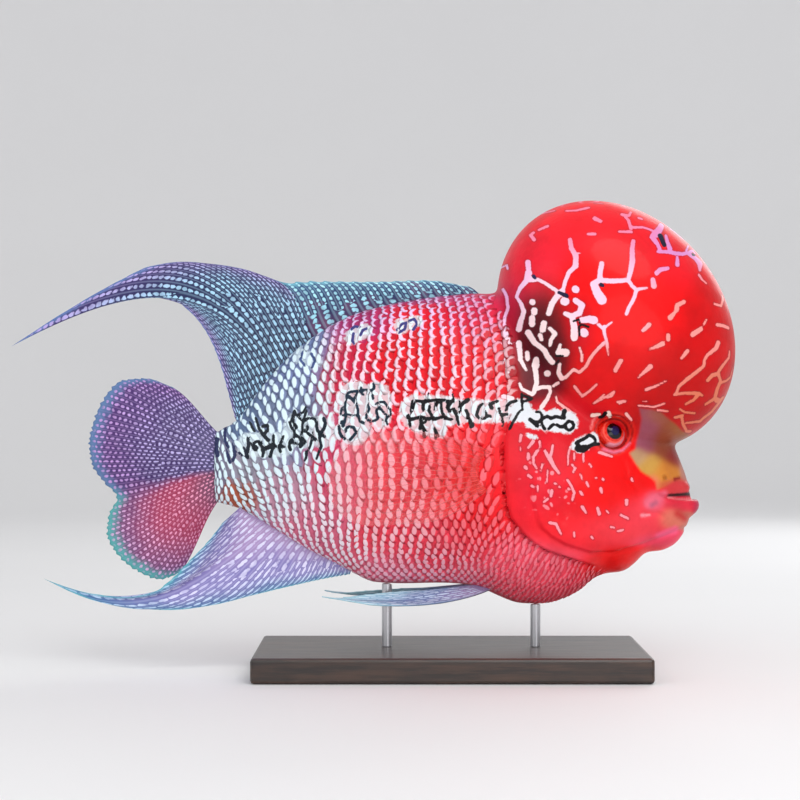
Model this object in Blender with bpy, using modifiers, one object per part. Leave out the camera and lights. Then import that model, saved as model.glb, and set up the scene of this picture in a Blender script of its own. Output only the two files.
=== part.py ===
"""A life-size flowerhorn cichlid, swimming level, held on a small display stand.

The fish faces +X with its right side to -Y, and the frame's origin is the middle of the stand's
underside. The flesh is modelled whole, parted with thin cuts, and the fins are cut to meet it.
"""

import math

import bmesh
import bpy
import numpy as np
from mathutils import Matrix, Vector

# Driving dimensions, in metres.
GAP = 0.0003                  # clearance that touching pieces keep
SPAN = 0.09                   # half-length of a cutter across the fish

RING_POINTS = 28              # points round one section of the flesh
BACK_LINE = ((-0.1165, 0.1185), (-0.106, 0.1235), (-0.0984, 0.1333), (-0.0886, 0.1462), (-0.0738, 0.1605),
             (-0.059, 0.1705), (-0.0443, 0.1772), (-0.0246, 0.182), (-0.005, 0.185), (0.0148, 0.1865),
             (0.034, 0.181), (0.054, 0.166), (0.074, 0.148), (0.0935, 0.131), (0.107, 0.1165),
             (0.113, 0.104), (0.116, 0.0955), (0.1172, 0.0905))
BELLY_LINE = ((-0.1165, 0.082), (-0.106, 0.0798), (-0.0984, 0.0762), (-0.0836, 0.0674), (-0.0689, 0.0585),
              (-0.0541, 0.0512), (-0.0465, 0.047), (-0.0384, 0.0432), (-0.0246, 0.0424), (-0.005, 0.0428),
              (0.0098, 0.0418), (0.0172, 0.0394), (0.0246, 0.036), (0.0344, 0.0328), (0.0443, 0.0325),
              (0.0541, 0.0347), (0.064, 0.0397), (0.071, 0.0458), (0.0765, 0.0482), (0.084, 0.0488),
              (0.0905, 0.053), (0.0964, 0.0585), (0.103, 0.0592), (0.1092, 0.0617), (0.1142, 0.067),
              (0.1172, 0.074))
HALF_WIDTH = ((-0.1165, 0.0034), (-0.106, 0.0072), (-0.0984, 0.0102), (-0.08, 0.0162), (-0.06, 0.022),
              (-0.04, 0.0274), (-0.02, 0.0315), (0.0, 0.0342), (0.02, 0.0355), (0.04, 0.035),
              (0.06, 0.033), (0.076, 0.0298), (0.09, 0.025), (0.1, 0.0205), (0.108, 0.016),
              (0.1135, 0.0115), (0.1172, 0.0068))
WIDEST_SHARE = ((-0.1165, 0.5), (-0.06, 0.5), (0.0, 0.48), (0.05, 0.47), (0.09, 0.47), (0.1172, 0.52))
BACK_FULLNESS = ((-0.1165, 1.0), (-0.08, 1.15), (0.0, 1.1), (0.06, 1.0), (0.1172, 0.95))
BELLY_FULLNESS = ((-0.1165, 1.0), (-0.06, 1.15), (-0.02, 1.0), (0.04, 0.98), (0.08, 0.86), (0.1172, 0.9))
SECTION_STATIONS = (-0.1165, -0.111, -0.104, -0.0965, -0.088, -0.078, -0.067, -0.056, -0.047, -0.039, -0.028,
                    -0.015, -0.002, 0.01, 0.02, 0.029, 0.038, 0.0475, 0.057, 0.0655, 0.073, 0.08, 0.0865,
                    0.0925, 0.0975, 0.1025, 0.107, 0.111, 0.1142, 0.1162, 0.1172)

END_CROWN = 0.0006             # how far the loft's ends bulge

HUMP_CENTRE = (0.0814, 0.1702)
HUMP_LONG = 0.0658            # half-length along the hump's own slope
HUMP_SHORT = 0.0528
HUMP_HALF_WIDTH = 0.0455
HUMP_SLOPE = math.radians(-51)
HUMP_SIDE_FULLNESS = 2.35     # 2 is an ellipsoid, and more is boxier
HUMP_SEGMENTS, HUMP_RINGS = 32, 16

EYE_PLACE = (0.0777, 0.1180)
EYE_RADIUS = 0.0076
EYE_DEPTH = 0.0056
EYE_PROUD = 0.0022            # how far the eye stands out of the head
EYE_SEGMENTS, EYE_RINGS = 18, 9
ORBIT_RADIUS, ORBIT_GIRTH, ORBIT_LIFT = 0.0088, 0.0015, -0.0004
NOSTRIL_PLACE = (0.1036, 0.0957)
NOSTRIL_RADIUS, NOSTRIL_RIM, NOSTRIL_RIM_GIRTH = 0.0011, 0.0019, 0.0007
NOSTRIL_SEGMENTS = 9

UPPER_LIP_HEIGHT, LOWER_LIP_HEIGHT = 0.0905, 0.0822
UPPER_LIP_FRONT, LOWER_LIP_FRONT = 0.1152, 0.1188
UPPER_LIP_GIRTH, LOWER_LIP_GIRTH, LIP_CORNER_GIRTH = 0.0030, 0.0038, 0.0019
LIP_START, LIP_TURN_X = 0.0015, 0.1128        # where a lip starts ahead of the corner, and where it turns in
LIP_INSET_CORNER, LIP_INSET_FRONT = 0.0012, 0.0022
LIP_RISE_FROM_CORNER = 0.45
LIP_ROUND = (0.0012, 0.0050)
MOUTH_CORNER = (0.1000, 0.0872)
MOUTH_GAPE_ABOVE, MOUTH_GAPE_BELOW = 0.00285, 0.00225
SNOUT_END = 0.1300            # just past the lips

JAW_CUT = ((0.1030, 0.0876), (0.0992, 0.0862), (0.0978, 0.0800), (0.0963, 0.0700), (0.0965, 0.0585),
           (0.0968, 0.0500))
HUMP_CUT = ((0.0120, 0.1990), (0.0200, 0.1860), (0.0268, 0.1720), (0.0300, 0.1580), (0.0350, 0.1440),
            (0.0440, 0.1355), (0.0580, 0.1318), (0.0740, 0.1310), (0.0900, 0.1275), (0.1020, 0.1210),
            (0.1115, 0.1130), (0.1220, 0.1040))
GILL_CUT = ((0.0345, 0.1480), (0.0320, 0.1350), (0.0288, 0.1230), (0.0266, 0.1100), (0.0262, 0.0960),
            (0.0280, 0.0820), (0.0340, 0.0695), (0.0440, 0.0622), (0.0560, 0.0575), (0.0660, 0.0538),
            (0.0730, 0.0490), (0.0775, 0.0400))
TAIL_CUT = ((-0.0860, 0.1700), (-0.0785, 0.1400), (-0.0765, 0.1050), (-0.0785, 0.0800), (-0.0840, 0.0500))

GILL_COVER_OUTLINE = ((0.0345, 0.1235), (0.0282, 0.1130), (0.0268, 0.1000), (0.0290, 0.0860), (0.0355, 0.0755),
                      (0.0450, 0.0700), (0.0560, 0.0650), (0.0700, 0.0618), (0.0830, 0.0625), (0.0905, 0.0675),
                      (0.0890, 0.0800), (0.0820, 0.0930), (0.0720, 0.1030), (0.0600, 0.1110), (0.0470, 0.1190))
GILL_COVER_MIDDLE = (0.0560, 0.0900)
GILL_COVER_THICKNESS = 0.0021
GILL_COVER_EDGE = 0.0009
GILL_COVER_SUNK = 0.0015       # how far its inner face lies in the flesh, before that trims it
GILL_COVER_RINGS = 4
GILL_COVER_POINTS = 34

# Each fin is a fan of rays. A ray's share runs from 0, at the front or top of the fin, to 1.
DORSAL_ROOT = ((0.0, 0.0170, 0.1835), (0.2, -0.0130, 0.1805), (0.4, -0.0415, 0.1742), (0.55, -0.0630, 0.1642),
               (0.7, -0.0800, 0.1500), (0.85, -0.0935, 0.1335), (1.0, -0.1040, 0.1205))
DORSAL_TIP = ((0.0, 0.0085, 0.1893), (0.12, -0.0120, 0.1924), (0.3, -0.0400, 0.1916), (0.48, -0.0690, 0.1918),
              (0.555, -0.0815, 0.1912), (0.59, -0.0910, 0.1942), (0.62, -0.1030, 0.1980), (0.65, -0.1170, 0.2002),
              (0.68, -0.1330, 0.2012), (0.71, -0.1480, 0.1990), (0.735, -0.1660, 0.1905), (0.755, -0.1950, 0.1735),
              (0.765, -0.2165, 0.1594), (0.777, -0.1950, 0.1705), (0.79, -0.1740, 0.1800), (0.81, -0.1560, 0.1846),
              (0.84, -0.1405, 0.1842), (0.875, -0.1285, 0.1770), (0.91, -0.1195, 0.1655), (0.945, -0.1135, 0.1515),
              (0.975, -0.1095, 0.1375), (1.0, -0.1062, 0.1255))
DORSAL_LEAVE = ((0.0, 150.0), (0.3, 143.0), (0.55, 128.0), (0.7, 118.0), (0.85, 112.0), (1.0, 112.0))
DORSAL_ARRIVE = ((0.0, 170.0), (0.3, 172.0), (0.55, 158.0), (0.65, 176.0), (0.71, 192.0), (0.765, 208.0),
                 (0.81, 180.0), (0.87, 145.0), (1.0, 112.0))
DORSAL_LEAVE_REACH = ((0.0, 0.33), (0.55, 0.36), (0.7, 0.5), (0.765, 0.52), (0.82, 0.5), (0.88, 0.36),
                      (1.0, 0.33))
DORSAL_ARRIVE_REACH = ((0.0, 0.33), (0.6, 0.36), (0.7, 0.36), (0.765, 0.42), (0.82, 0.3), (1.0, 0.33))
DORSAL_SPINES, DORSAL_SOFT_RAYS = 14, 11
DORSAL_LAST_SPINE, DORSAL_BORDER, DORSAL_FIRST_SOFT = 0.560, 0.575, 0.590
STREAMER_CUT_X = -0.1500
# A streamer's edges, where the first column runs from 0, at the fin, to 1 at its point.
DORSAL_STREAMER_UPPER = ((0.0, -0.15015, 0.0002, 0.1979), (0.25, -0.1660, 0.0003, 0.1905),
                         (0.68, -0.1950, 0.0006, 0.1735), (1.0, -0.2165, 0.0009, 0.1600))
DORSAL_STREAMER_LOWER = ((0.0, -0.15015, 0.0013, 0.1850), (0.25, -0.1665, 0.0011, 0.1828),
                         (0.68, -0.1946, 0.0010, 0.1706), (1.0, -0.2163, 0.0009, 0.1590))
STREAMER_STATIONS = 9

ANAL_ROOT = ((0.0, -0.0480, 0.0525), (0.25, -0.0625, 0.0590), (0.5, -0.0780, 0.0675), (0.75, -0.0920, 0.0755),
             (1.0, -0.1020, 0.0818))
ANAL_TIP = ((0.0, -0.0500, 0.0472), (0.12, -0.0610, 0.0455), (0.3, -0.0800, 0.0415), (0.42, -0.0990, 0.0370),
            (0.5, -0.1180, 0.0325), (0.56, -0.1380, 0.0303), (0.61, -0.1580, 0.0315), (0.655, -0.1800, 0.0368),
            (0.69, -0.1993, 0.0458), (0.725, -0.1790, 0.0392), (0.765, -0.1600, 0.0368), (0.81, -0.1460, 0.0392),
            (0.85, -0.1370, 0.0455), (0.9, -0.1285, 0.0540), (0.95, -0.1200, 0.0625), (1.0, -0.1115, 0.0730))
ANAL_LEAVE = ((0.0, 238.0), (0.3, 228.0), (0.6, 222.0), (0.8, 222.0), (1.0, 224.0))
ANAL_ARRIVE = ((0.0, 200.0), (0.3, 196.0), (0.55, 182.0), (0.69, 156.0), (0.8, 190.0), (0.9, 212.0),
               (1.0, 222.0))
ANAL_LEAVE_REACH = ((0.0, 0.33), (0.5, 0.33), (0.69, 0.42), (0.8, 0.42), (0.9, 0.36), (1.0, 0.33))
ANAL_ARRIVE_REACH = ((0.0, 0.33), (0.5, 0.33), (0.69, 0.42), (0.8, 0.34), (1.0, 0.33))
ANAL_RAYS = 15
ANAL_STREAMER_CUT_X = -0.1470
ANAL_STREAMER_UPPER = ((0.0, -0.14715, -0.0058, 0.0392), (0.3, -0.1630, -0.0052, 0.0369),
                       (0.65, -0.1810, -0.0046, 0.0397), (1.0, -0.1992, -0.0043, 0.0461))
ANAL_STREAMER_LOWER = ((0.0, -0.14715, -0.0036, 0.0308), (0.3, -0.1630, -0.0038, 0.0321),
                       (0.65, -0.1815, -0.0041, 0.0374), (1.0, -0.1992, -0.0043, 0.0452))
ANAL_DRIFT = -0.0085          # how far the fin's rear edge swings towards the camera's side

CAUDAL_ROOT = ((0.0, -0.1115, 0.1150), (0.5, -0.1125, 0.1010), (1.0, -0.1115, 0.0865))
CAUDAL_TIP = ((0.0, -0.1370, 0.1400), (0.07, -0.1500, 0.1442), (0.14, -0.1615, 0.1432), (0.21, -0.1695, 0.1360),
              (0.29, -0.1752, 0.1240), (0.38, -0.1778, 0.1120), (0.46, -0.1768, 0.1020), (0.53, -0.1712, 0.0928),
              (0.58, -0.1650, 0.0850), (0.63, -0.1692, 0.0765), (0.7, -0.1702, 0.0672), (0.77, -0.1660, 0.0580),
              (0.85, -0.1560, 0.0488), (0.93, -0.1440, 0.0440), (1.0, -0.1340, 0.0470))
CAUDAL_LEAVE = ((0.0, 142.0), (0.5, 182.0), (1.0, 226.0))
CAUDAL_ARRIVE = ((0.0, 152.0), (0.25, 168.0), (0.5, 182.0), (0.75, 198.0), (1.0, 232.0))
CAUDAL_RAYS = 15
CAUDAL_DRIFT = 0.0095         # how far the lower lobe swings away from the camera's side

PECTORAL_ROOT = ((0.0, 0.0225, 0.1065), (1.0, 0.0205, 0.0925))
PECTORAL_TIP = ((0.0, -0.0060, 0.1160), (0.15, -0.0240, 0.1190), (0.3, -0.0420, 0.1160), (0.45, -0.0545, 0.1080),
                (0.6, -0.0600, 0.0960), (0.75, -0.0560, 0.0820), (0.88, -0.0400, 0.0740), (1.0, -0.0150, 0.0750))
PECTORAL_LEAVE = ((0.0, 150.0), (0.5, 180.0), (1.0, 214.0))
PECTORAL_ARRIVE = ((0.0, 176.0), (0.5, 186.0), (1.0, 184.0))
PECTORAL_RAYS = 12
PECTORAL_ROOT_Y = 0.0310
PECTORAL_TIP_Y = 0.0465

PELVIC_ROOT = ((0.0, 0.0185, 0.0405), (1.0, 0.0120, 0.0425))
PELVIC_TIP = ((0.0, -0.0400, 0.0345), (0.25, -0.0630, 0.0382), (0.5, -0.0560, 0.0372), (0.75, -0.0420, 0.0385),
              (1.0, -0.0240, 0.0400))
PELVIC_LEAVE = ((0.0, 200.0), (1.0, 186.0))
PELVIC_ARRIVE = ((0.0, 176.0), (0.3, 172.0), (1.0, 178.0))
PELVIC_RAYS = 6
PELVIC_ROOT_Y, PELVIC_OUTER_Y, PELVIC_INNER_Y = 0.0085, 0.0215, 0.0105

WEB = 0.0006                  # thickness of a fin's membrane
RAY_ROOT_GIRTH, RAY_TIP_GIRTH = 0.0016, 0.0007
SPINE_ROOT_GIRTH = 0.0020
RAY_FOOT = 0.26               # half-width of a ray's ridge, as a share of the ray spacing

STAND_BASE = (0.190, 0.104, 0.012)
STAND_BASE_EDGE = 0.0016
ROD_RADIUS = 0.0025
ROD_PLACES = {"stand_rod_front": 0.0420, "stand_rod_rear": -0.0310}
ROD_TOP = 0.0600              # inside the belly, before the belly trims it

RED, DEEP_RED, PALE_RED = (0.80, 0.02, 0.03), (0.45, 0.02, 0.02), (0.80, 0.10, 0.12)
PEARL_BLUE, FIN_BLUE = (0.45, 0.55, 0.66), (0.26, 0.30, 0.55)
STEEL, DARK_WOOD = (0.60, 0.60, 0.62), (0.035, 0.026, 0.022)


def profile(stations):
    """A smooth curve through the stations that never overshoots them. The first column is where."""
    table = np.array(stations, float)
    at, values = table[:, 0], table[:, 1:]
    step = np.diff(at)[:, None]
    slope = np.diff(values, axis=0) / step
    tangent = np.zeros_like(values)
    before, after = slope[:-1], slope[1:]
    same_way = before * after > 0
    weighted = 3 * (step[:-1] + step[1:])
    first, second = 2 * step[1:] + step[:-1], step[1:] + 2 * step[:-1]
    safe_before, safe_after = np.where(same_way, before, 1), np.where(same_way, after, 1)
    tangent[1:-1] = np.where(same_way, weighted / (first / safe_before + second / safe_after), 0)
    tangent[0], tangent[-1] = slope[0], slope[-1]

    def value(x):
        x = min(max(x, at[0]), at[-1])
        k = min(int(np.searchsorted(at, x, side="right")) - 1, len(at) - 2)
        h = at[k + 1] - at[k]
        t = (x - at[k]) / h
        smooth = ((1 + 2 * t) * (1 - t) ** 2 * values[k] + t * (1 - t) ** 2 * h * tangent[k]
                  + t * t * (3 - 2 * t) * values[k + 1] + t * t * (t - 1) * h * tangent[k + 1])
        return smooth if len(smooth) > 1 else float(smooth[0])

    return value


back_line, belly_line, half_width = profile(BACK_LINE), profile(BELLY_LINE), profile(HALF_WIDTH)
widest_share = profile(WIDEST_SHARE)
back_fullness, belly_fullness = profile(BACK_FULLNESS), profile(BELLY_FULLNESS)


def section_point(x, turn, grow=0.0):
    """A point of the flesh's section at x. The turn runs from 0, on the back, round the left side."""
    top, bottom = back_line(x) + grow, belly_line(x) - grow
    waist = bottom + widest_share(x) * (top - bottom)
    up, side = math.cos(turn), math.sin(turn)
    height, fullness = (top - waist, back_fullness(x)) if up > 0 else (waist - bottom, belly_fullness(x))
    reach = (half_width(x) + grow) * abs(side) ** fullness
    return Vector((x, math.copysign(reach, side), waist + height * up))


def flank(x, z):
    """How far the flesh reaches sideways at (x, z)."""
    top, bottom = back_line(x), belly_line(x)
    waist = bottom + widest_share(x) * (top - bottom)
    upper = z > waist
    up = min(abs(z - waist) / ((top - waist) if upper else (waist - bottom)), 1.0)
    fullness = back_fullness(x) if upper else belly_fullness(x)
    return half_width(x) * math.sqrt(1 - up * up) ** fullness


def flank_normal(x, z):
    """The outward direction of the flesh's left side at (x, z)."""
    step = 0.0005
    slope_x = (flank(x + step, z) - flank(x - step, z)) / (2 * step)
    slope_z = (flank(x, z + step) - flank(x, z - step)) / (2 * step)
    return Vector((-slope_x, 1.0, -slope_z)).normalized()


def clear_scene():
    for old in list(bpy.data.objects):
        bpy.data.objects.remove(old)


def make_collection(name, helper=False):
    made = bpy.data.collections.new(name)
    bpy.context.scene.collection.children.link(made)
    made.hide_render = helper
    return made


def make_material(name, colour, roughness, metallic=0.0):
    made = bpy.data.materials.new(name)
    made.use_nodes = True
    shader = made.node_tree.nodes["Principled BSDF"]
    shader.inputs["Base Color"].default_value = (*colour, 1.0)
    shader.inputs["Roughness"].default_value = roughness
    shader.inputs["Metallic"].default_value = metallic
    return made


def object_from(shape, name, collection, facing_out=True):
    """A new object from a bmesh, with its faces turned outwards."""
    if facing_out:
        bmesh.ops.recalc_face_normals(shape, faces=shape.faces)
    data = bpy.data.meshes.new(name)
    shape.to_mesh(data)
    shape.free()
    made = bpy.data.objects.new(name, data)
    collection.objects.link(made)
    return made


def as_helper(piece):
    piece.hide_render = True
    piece.display_type = "WIRE"
    return piece


def take_active(name, collection):
    """The object that a primitive operator has just made, in a collection, with its place in its mesh."""
    piece = bpy.context.active_object
    piece.name = name
    for held in list(piece.users_collection):
        held.objects.unlink(piece)
    collection.objects.link(piece)
    bpy.context.view_layer.update()
    piece.data.transform(piece.matrix_world)
    piece.matrix_world = Matrix.Identity(4)
    return piece


def boolean(piece, others, operation, solver="EXACT"):
    """Joins the others, a collection, to the piece, or cuts them out of it, and applies that."""
    step = piece.modifiers.new("cut", "BOOLEAN")
    step.operation = operation
    step.operand_type = "COLLECTION"
    step.collection = others
    step.solver = solver
    bpy.context.view_layer.update()
    graph = bpy.context.evaluated_depsgraph_get()
    made = bpy.data.meshes.new_from_object(piece.evaluated_get(graph))
    piece.modifiers.remove(step)
    piece.data = made
    return piece


def empty_out(collection):
    for piece in list(collection.objects):
        bpy.data.objects.remove(piece)


def loose_shapes(piece):
    """The separate closed surfaces of a mesh, as bmeshes, largest box first."""
    whole = bmesh.new()
    whole.from_mesh(piece.data)
    bmesh.ops.remove_doubles(whole, verts=whole.verts, dist=0.000002)
    whole.verts.ensure_lookup_table()
    group_of, groups = {}, []
    for start in whole.verts:
        if start.index in group_of:
            continue
        waiting, found = [start], []
        group_of[start.index] = len(groups)
        while waiting:
            here = waiting.pop()
            found.append(here.index)
            for edge in here.link_edges:
                there = edge.other_vert(here)
                if there.index not in group_of:
                    group_of[there.index] = len(groups)
                    waiting.append(there)
        groups.append(set(found))
    shapes = []
    for found in groups:
        part = whole.copy()
        part.verts.ensure_lookup_table()
        bmesh.ops.delete(part, geom=[v for v in part.verts if v.index not in found], context="VERTS")
        shapes.append(part)
    whole.free()
    shapes.sort(key=lambda part: -part.calc_volume(signed=False))
    return shapes


def keep_largest(piece):
    """Drops the loose scraps that a cut leaves."""
    shapes = loose_shapes(piece)
    shapes[0].to_mesh(piece.data)
    for part in shapes:
        part.free()
    return piece


def flesh_loft(collection, grow=0.0):
    """The fish's trunk and head as one loft of sections from the tail's root to the mouth."""
    shape = bmesh.new()
    rings = []
    for x in SECTION_STATIONS:
        turns = [2 * math.pi * k / RING_POINTS for k in range(RING_POINTS)]
        rings.append([shape.verts.new(section_point(x, turn, grow)) for turn in turns])
    for ring, following in zip(rings, rings[1:]):
        for k in range(RING_POINTS):
            after = (k + 1) % RING_POINTS
            shape.faces.new((ring[k], ring[after], following[after], following[k]))
    for ring, way in ((rings[0], -1), (rings[-1], 1)):
        middle = sum((v.co for v in ring), Vector()) / RING_POINTS
        crown = shape.verts.new(middle + Vector((way * (grow + END_CROWN), 0, 0)))
        for k in range(RING_POINTS):
            shape.faces.new((ring[k], ring[(k + 1) % RING_POINTS], crown))
    return object_from(shape, "flesh", collection)


def hump_form(collection, grow=0.0):
    """The forehead hump: a ball with its poles on the fish's two sides, drawn out along its slope."""
    bpy.ops.mesh.primitive_uv_sphere_add(segments=HUMP_SEGMENTS, ring_count=HUMP_RINGS, radius=1.0)
    ball = take_active("hump", collection)
    along = Vector((math.cos(HUMP_SLOPE), math.sin(HUMP_SLOPE)))
    across = Vector((-along.y, along.x))
    for corner in ball.data.vertices:
        sideways = max(-1.0, min(1.0, corner.co.z))
        ring = (1 - abs(sideways) ** HUMP_SIDE_FULLNESS) ** (1 / HUMP_SIDE_FULLNESS)
        flat = Vector((corner.co.x, corner.co.y))
        flat = flat.normalized() * ring if flat.length > 1e-6 else Vector((0.0, 0.0))
        place = along * flat.x * (HUMP_LONG + grow) + across * flat.y * (HUMP_SHORT + grow)
        out = sideways * (HUMP_HALF_WIDTH + grow)
        corner.co = Vector((HUMP_CENTRE[0] + place.x, out, HUMP_CENTRE[1] + place.y))
    return outward(ball)


def outward(piece):
    shape = bmesh.new()
    shape.from_mesh(piece.data)
    bmesh.ops.recalc_face_normals(shape, faces=shape.faces)
    shape.to_mesh(piece.data)
    shape.free()
    return piece


def lip_roll(name, collection, height, front, girth, grow=0.0):
    """A fleshy lip: a tube that follows the snout's edge from one corner of the mouth to the other."""
    places = []
    for share in np.linspace(0, 1, 7):
        x = MOUTH_CORNER[0] + LIP_START + share * (LIP_TURN_X - MOUTH_CORNER[0])
        inset = LIP_INSET_CORNER + (LIP_INSET_FRONT - LIP_INSET_CORNER) * share
        drop = (height - MOUTH_CORNER[1]) * (1 - LIP_RISE_FROM_CORNER * (1 - share))
        places.append((Vector((x, flank(x, height) - inset, MOUTH_CORNER[1] + drop)), share * 0.8))
    places.append((Vector((front - LIP_ROUND[0], LIP_ROUND[1], height)), 0.95))
    side = list(places)
    route = side + [(Vector((front, 0.0, height)), 1.0)]
    route += [(Vector((p.x, -p.y, p.z)), share) for p, share in reversed(side)]
    data = bpy.data.curves.new(name, "CURVE")
    data.dimensions = "3D"
    data.bevel_depth = girth + grow
    data.bevel_resolution = 2
    data.use_fill_caps = True
    line = data.splines.new("POLY")
    line.points.add(len(route) - 1)
    for point, (place, share) in zip(line.points, route):
        point.co = (*place, 1.0)
        point.radius = (LIP_CORNER_GIRTH + share * (girth - LIP_CORNER_GIRTH) + grow) / (girth + grow)
    return mesh_from_curve(data, name, collection)


def mesh_from_curve(data, name, collection, matrix=None, thickness=0.0):
    """Turns a curve into a closed mesh object, given a thickness if it is a ribbon."""
    line = bpy.data.objects.new(name + "_line", data)
    collection.objects.link(line)
    if matrix is not None:
        line.matrix_world = matrix
    if thickness:
        wall = line.modifiers.new("thickness", "SOLIDIFY")
        wall.thickness = thickness
        wall.offset = 0.0
    bpy.context.view_layer.update()
    graph = bpy.context.evaluated_depsgraph_get()
    made = bpy.data.meshes.new_from_object(line.evaluated_get(graph))
    made.transform(line.matrix_world)
    bpy.data.objects.remove(line)
    shape = bmesh.new()
    shape.from_mesh(made)
    bmesh.ops.remove_doubles(shape, verts=shape.verts, dist=0.000005)
    return object_from(shape, name, collection)


def ribbon_cutter(name, collection, route, thickness=GAP):
    """A thin cutter that follows a route in the fish's middle plane and runs right across it."""
    data = bpy.data.curves.new(name, "CURVE")
    data.dimensions = "2D"
    data.fill_mode = "NONE"
    data.extrude = SPAN
    shape = profile([(k, *point) for k, point in enumerate(route)])
    places = [shape(k) for k in np.linspace(0, len(route) - 1, 2 * len(route) - 1)]
    line = data.splines.new("POLY")
    line.points.add(len(places) - 1)
    for point, place in zip(line.points, places):
        point.co = (place[0], place[1], 0.0, 1.0)
    upright = Matrix.Rotation(math.pi / 2, 4, "X")
    return as_helper(mesh_from_curve(data, name, collection, upright, thickness))


def wedge_cutter(name, collection):
    """The mouth's opening: a wedge that widens from the corner of the mouth to the lips."""
    shape = bmesh.new()
    above, below = MOUTH_CORNER[1] + MOUTH_GAPE_ABOVE, MOUTH_CORNER[1] - MOUTH_GAPE_BELOW
    near = [shape.verts.new((x, -SPAN, z)) for x, z in (MOUTH_CORNER, (SNOUT_END, above), (SNOUT_END, below))]
    shape.faces.new(near)
    pushed = bmesh.ops.extrude_face_region(shape, geom=list(shape.faces))["geom"]
    corners = [v for v in pushed if isinstance(v, bmesh.types.BMVert)]
    bmesh.ops.translate(shape, vec=(0, 2 * SPAN, 0), verts=corners)
    return as_helper(object_from(shape, name, collection))


def ring_on_flank(name, collection, place, radius, girth, side, segments, lift=0.0, grow=0.0):
    """A rim, as round an eye or a nostril, that lies on the flesh's side."""
    x, z = place
    normal = flank_normal(x, z)
    seat = Vector((x, flank(x, z), z)) + normal * lift
    seat.y, normal.y = side * seat.y, side * normal.y
    turn = normal.to_track_quat("Z", "Y").to_euler()
    bpy.ops.mesh.primitive_torus_add(location=seat, rotation=turn, major_segments=segments, minor_segments=5,
                                     major_radius=radius, minor_radius=girth + grow)
    return outward(take_active(name, collection))


def eyeball(name, collection, side, grow=0.0):
    """A flattened ball, set in the head so that a shallow dome stands out."""
    x, z = EYE_PLACE
    normal = flank_normal(x, z)
    seat = Vector((x, flank(x, z), z)) + normal * (EYE_PROUD - EYE_DEPTH)
    seat.y, normal.y = side * seat.y, side * normal.y
    bpy.ops.mesh.primitive_uv_sphere_add(segments=EYE_SEGMENTS, ring_count=EYE_RINGS, radius=1.0)
    ball = take_active(name, collection)
    size = Matrix.Diagonal((EYE_RADIUS + grow, EYE_RADIUS + grow, EYE_DEPTH + grow, 1.0))
    turn = normal.to_track_quat("Z", "Y").to_matrix().to_4x4()
    ball.data.transform(Matrix.Translation(seat) @ turn @ size)
    return outward(ball)


def nostril_pit(name, collection, side):
    x, z = NOSTRIL_PLACE
    seat = Vector((x, side * flank(x, z), z))
    bpy.ops.mesh.primitive_uv_sphere_add(segments=8, ring_count=5, radius=NOSTRIL_RADIUS, location=seat)
    return as_helper(outward(take_active(name, collection)))


def whole_body(collection, scratch, grow=0.0):
    """All the flesh as one closed surface, without its cuts."""
    body = flesh_loft(collection, grow)
    hump_form(scratch, grow)
    lip_roll("upper_lip", scratch, UPPER_LIP_HEIGHT, UPPER_LIP_FRONT, UPPER_LIP_GIRTH, grow)
    lip_roll("lower_lip", scratch, LOWER_LIP_HEIGHT, LOWER_LIP_FRONT, LOWER_LIP_GIRTH, grow)
    for side in (-1, 1):
        ring_on_flank(f"orbit_{side}", scratch, EYE_PLACE, ORBIT_RADIUS, ORBIT_GIRTH, side,
                      EYE_SEGMENTS, ORBIT_LIFT, grow)
        ring_on_flank(f"nostril_{side}", scratch, NOSTRIL_PLACE, NOSTRIL_RIM, NOSTRIL_RIM_GIRTH, side,
                      NOSTRIL_SEGMENTS, grow=grow)
    boolean(body, scratch, "UNION")
    empty_out(scratch)
    return keep_largest(body)


def part_the_body(body, fish, scratch):
    """Cuts the flesh along its natural borders, and names the pieces by where they lie."""
    ribbon_cutter("hump_border", scratch, HUMP_CUT)
    ribbon_cutter("gill_slit", scratch, GILL_CUT)
    ribbon_cutter("tail_border", scratch, TAIL_CUT)
    ribbon_cutter("jaw_border", scratch, JAW_CUT)
    wedge_cutter("mouth", scratch)
    for side in (-1, 1):
        as_helper(eyeball(f"socket_{side}", scratch, side, GAP))
        nostril_pit(f"pit_{side}", scratch, side)
    boolean(body, scratch, "DIFFERENCE")
    empty_out(scratch)
    seats = {
        "nuchal_hump": Vector((HUMP_CENTRE[0], 0, 0.185)),
        "head": Vector((0.070, 0, 0.095)),
        "lower_jaw": Vector((0.109, 0, 0.072)),
        "torso": Vector((-0.020, 0, 0.105)),
        "tail_stem": Vector((-0.098, 0, 0.105)),
    }
    for shape in loose_shapes(body)[:len(seats)]:
        low = Vector([min(v.co[k] for v in shape.verts) for k in range(3)])
        high = Vector([max(v.co[k] for v in shape.verts) for k in range(3)])
        middle = (low + high) / 2
        name = min(seats, key=lambda seat: (seats[seat] - middle).length)
        del seats[name]
        object_from(shape, name, fish)
    bpy.data.objects.remove(body)


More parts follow.
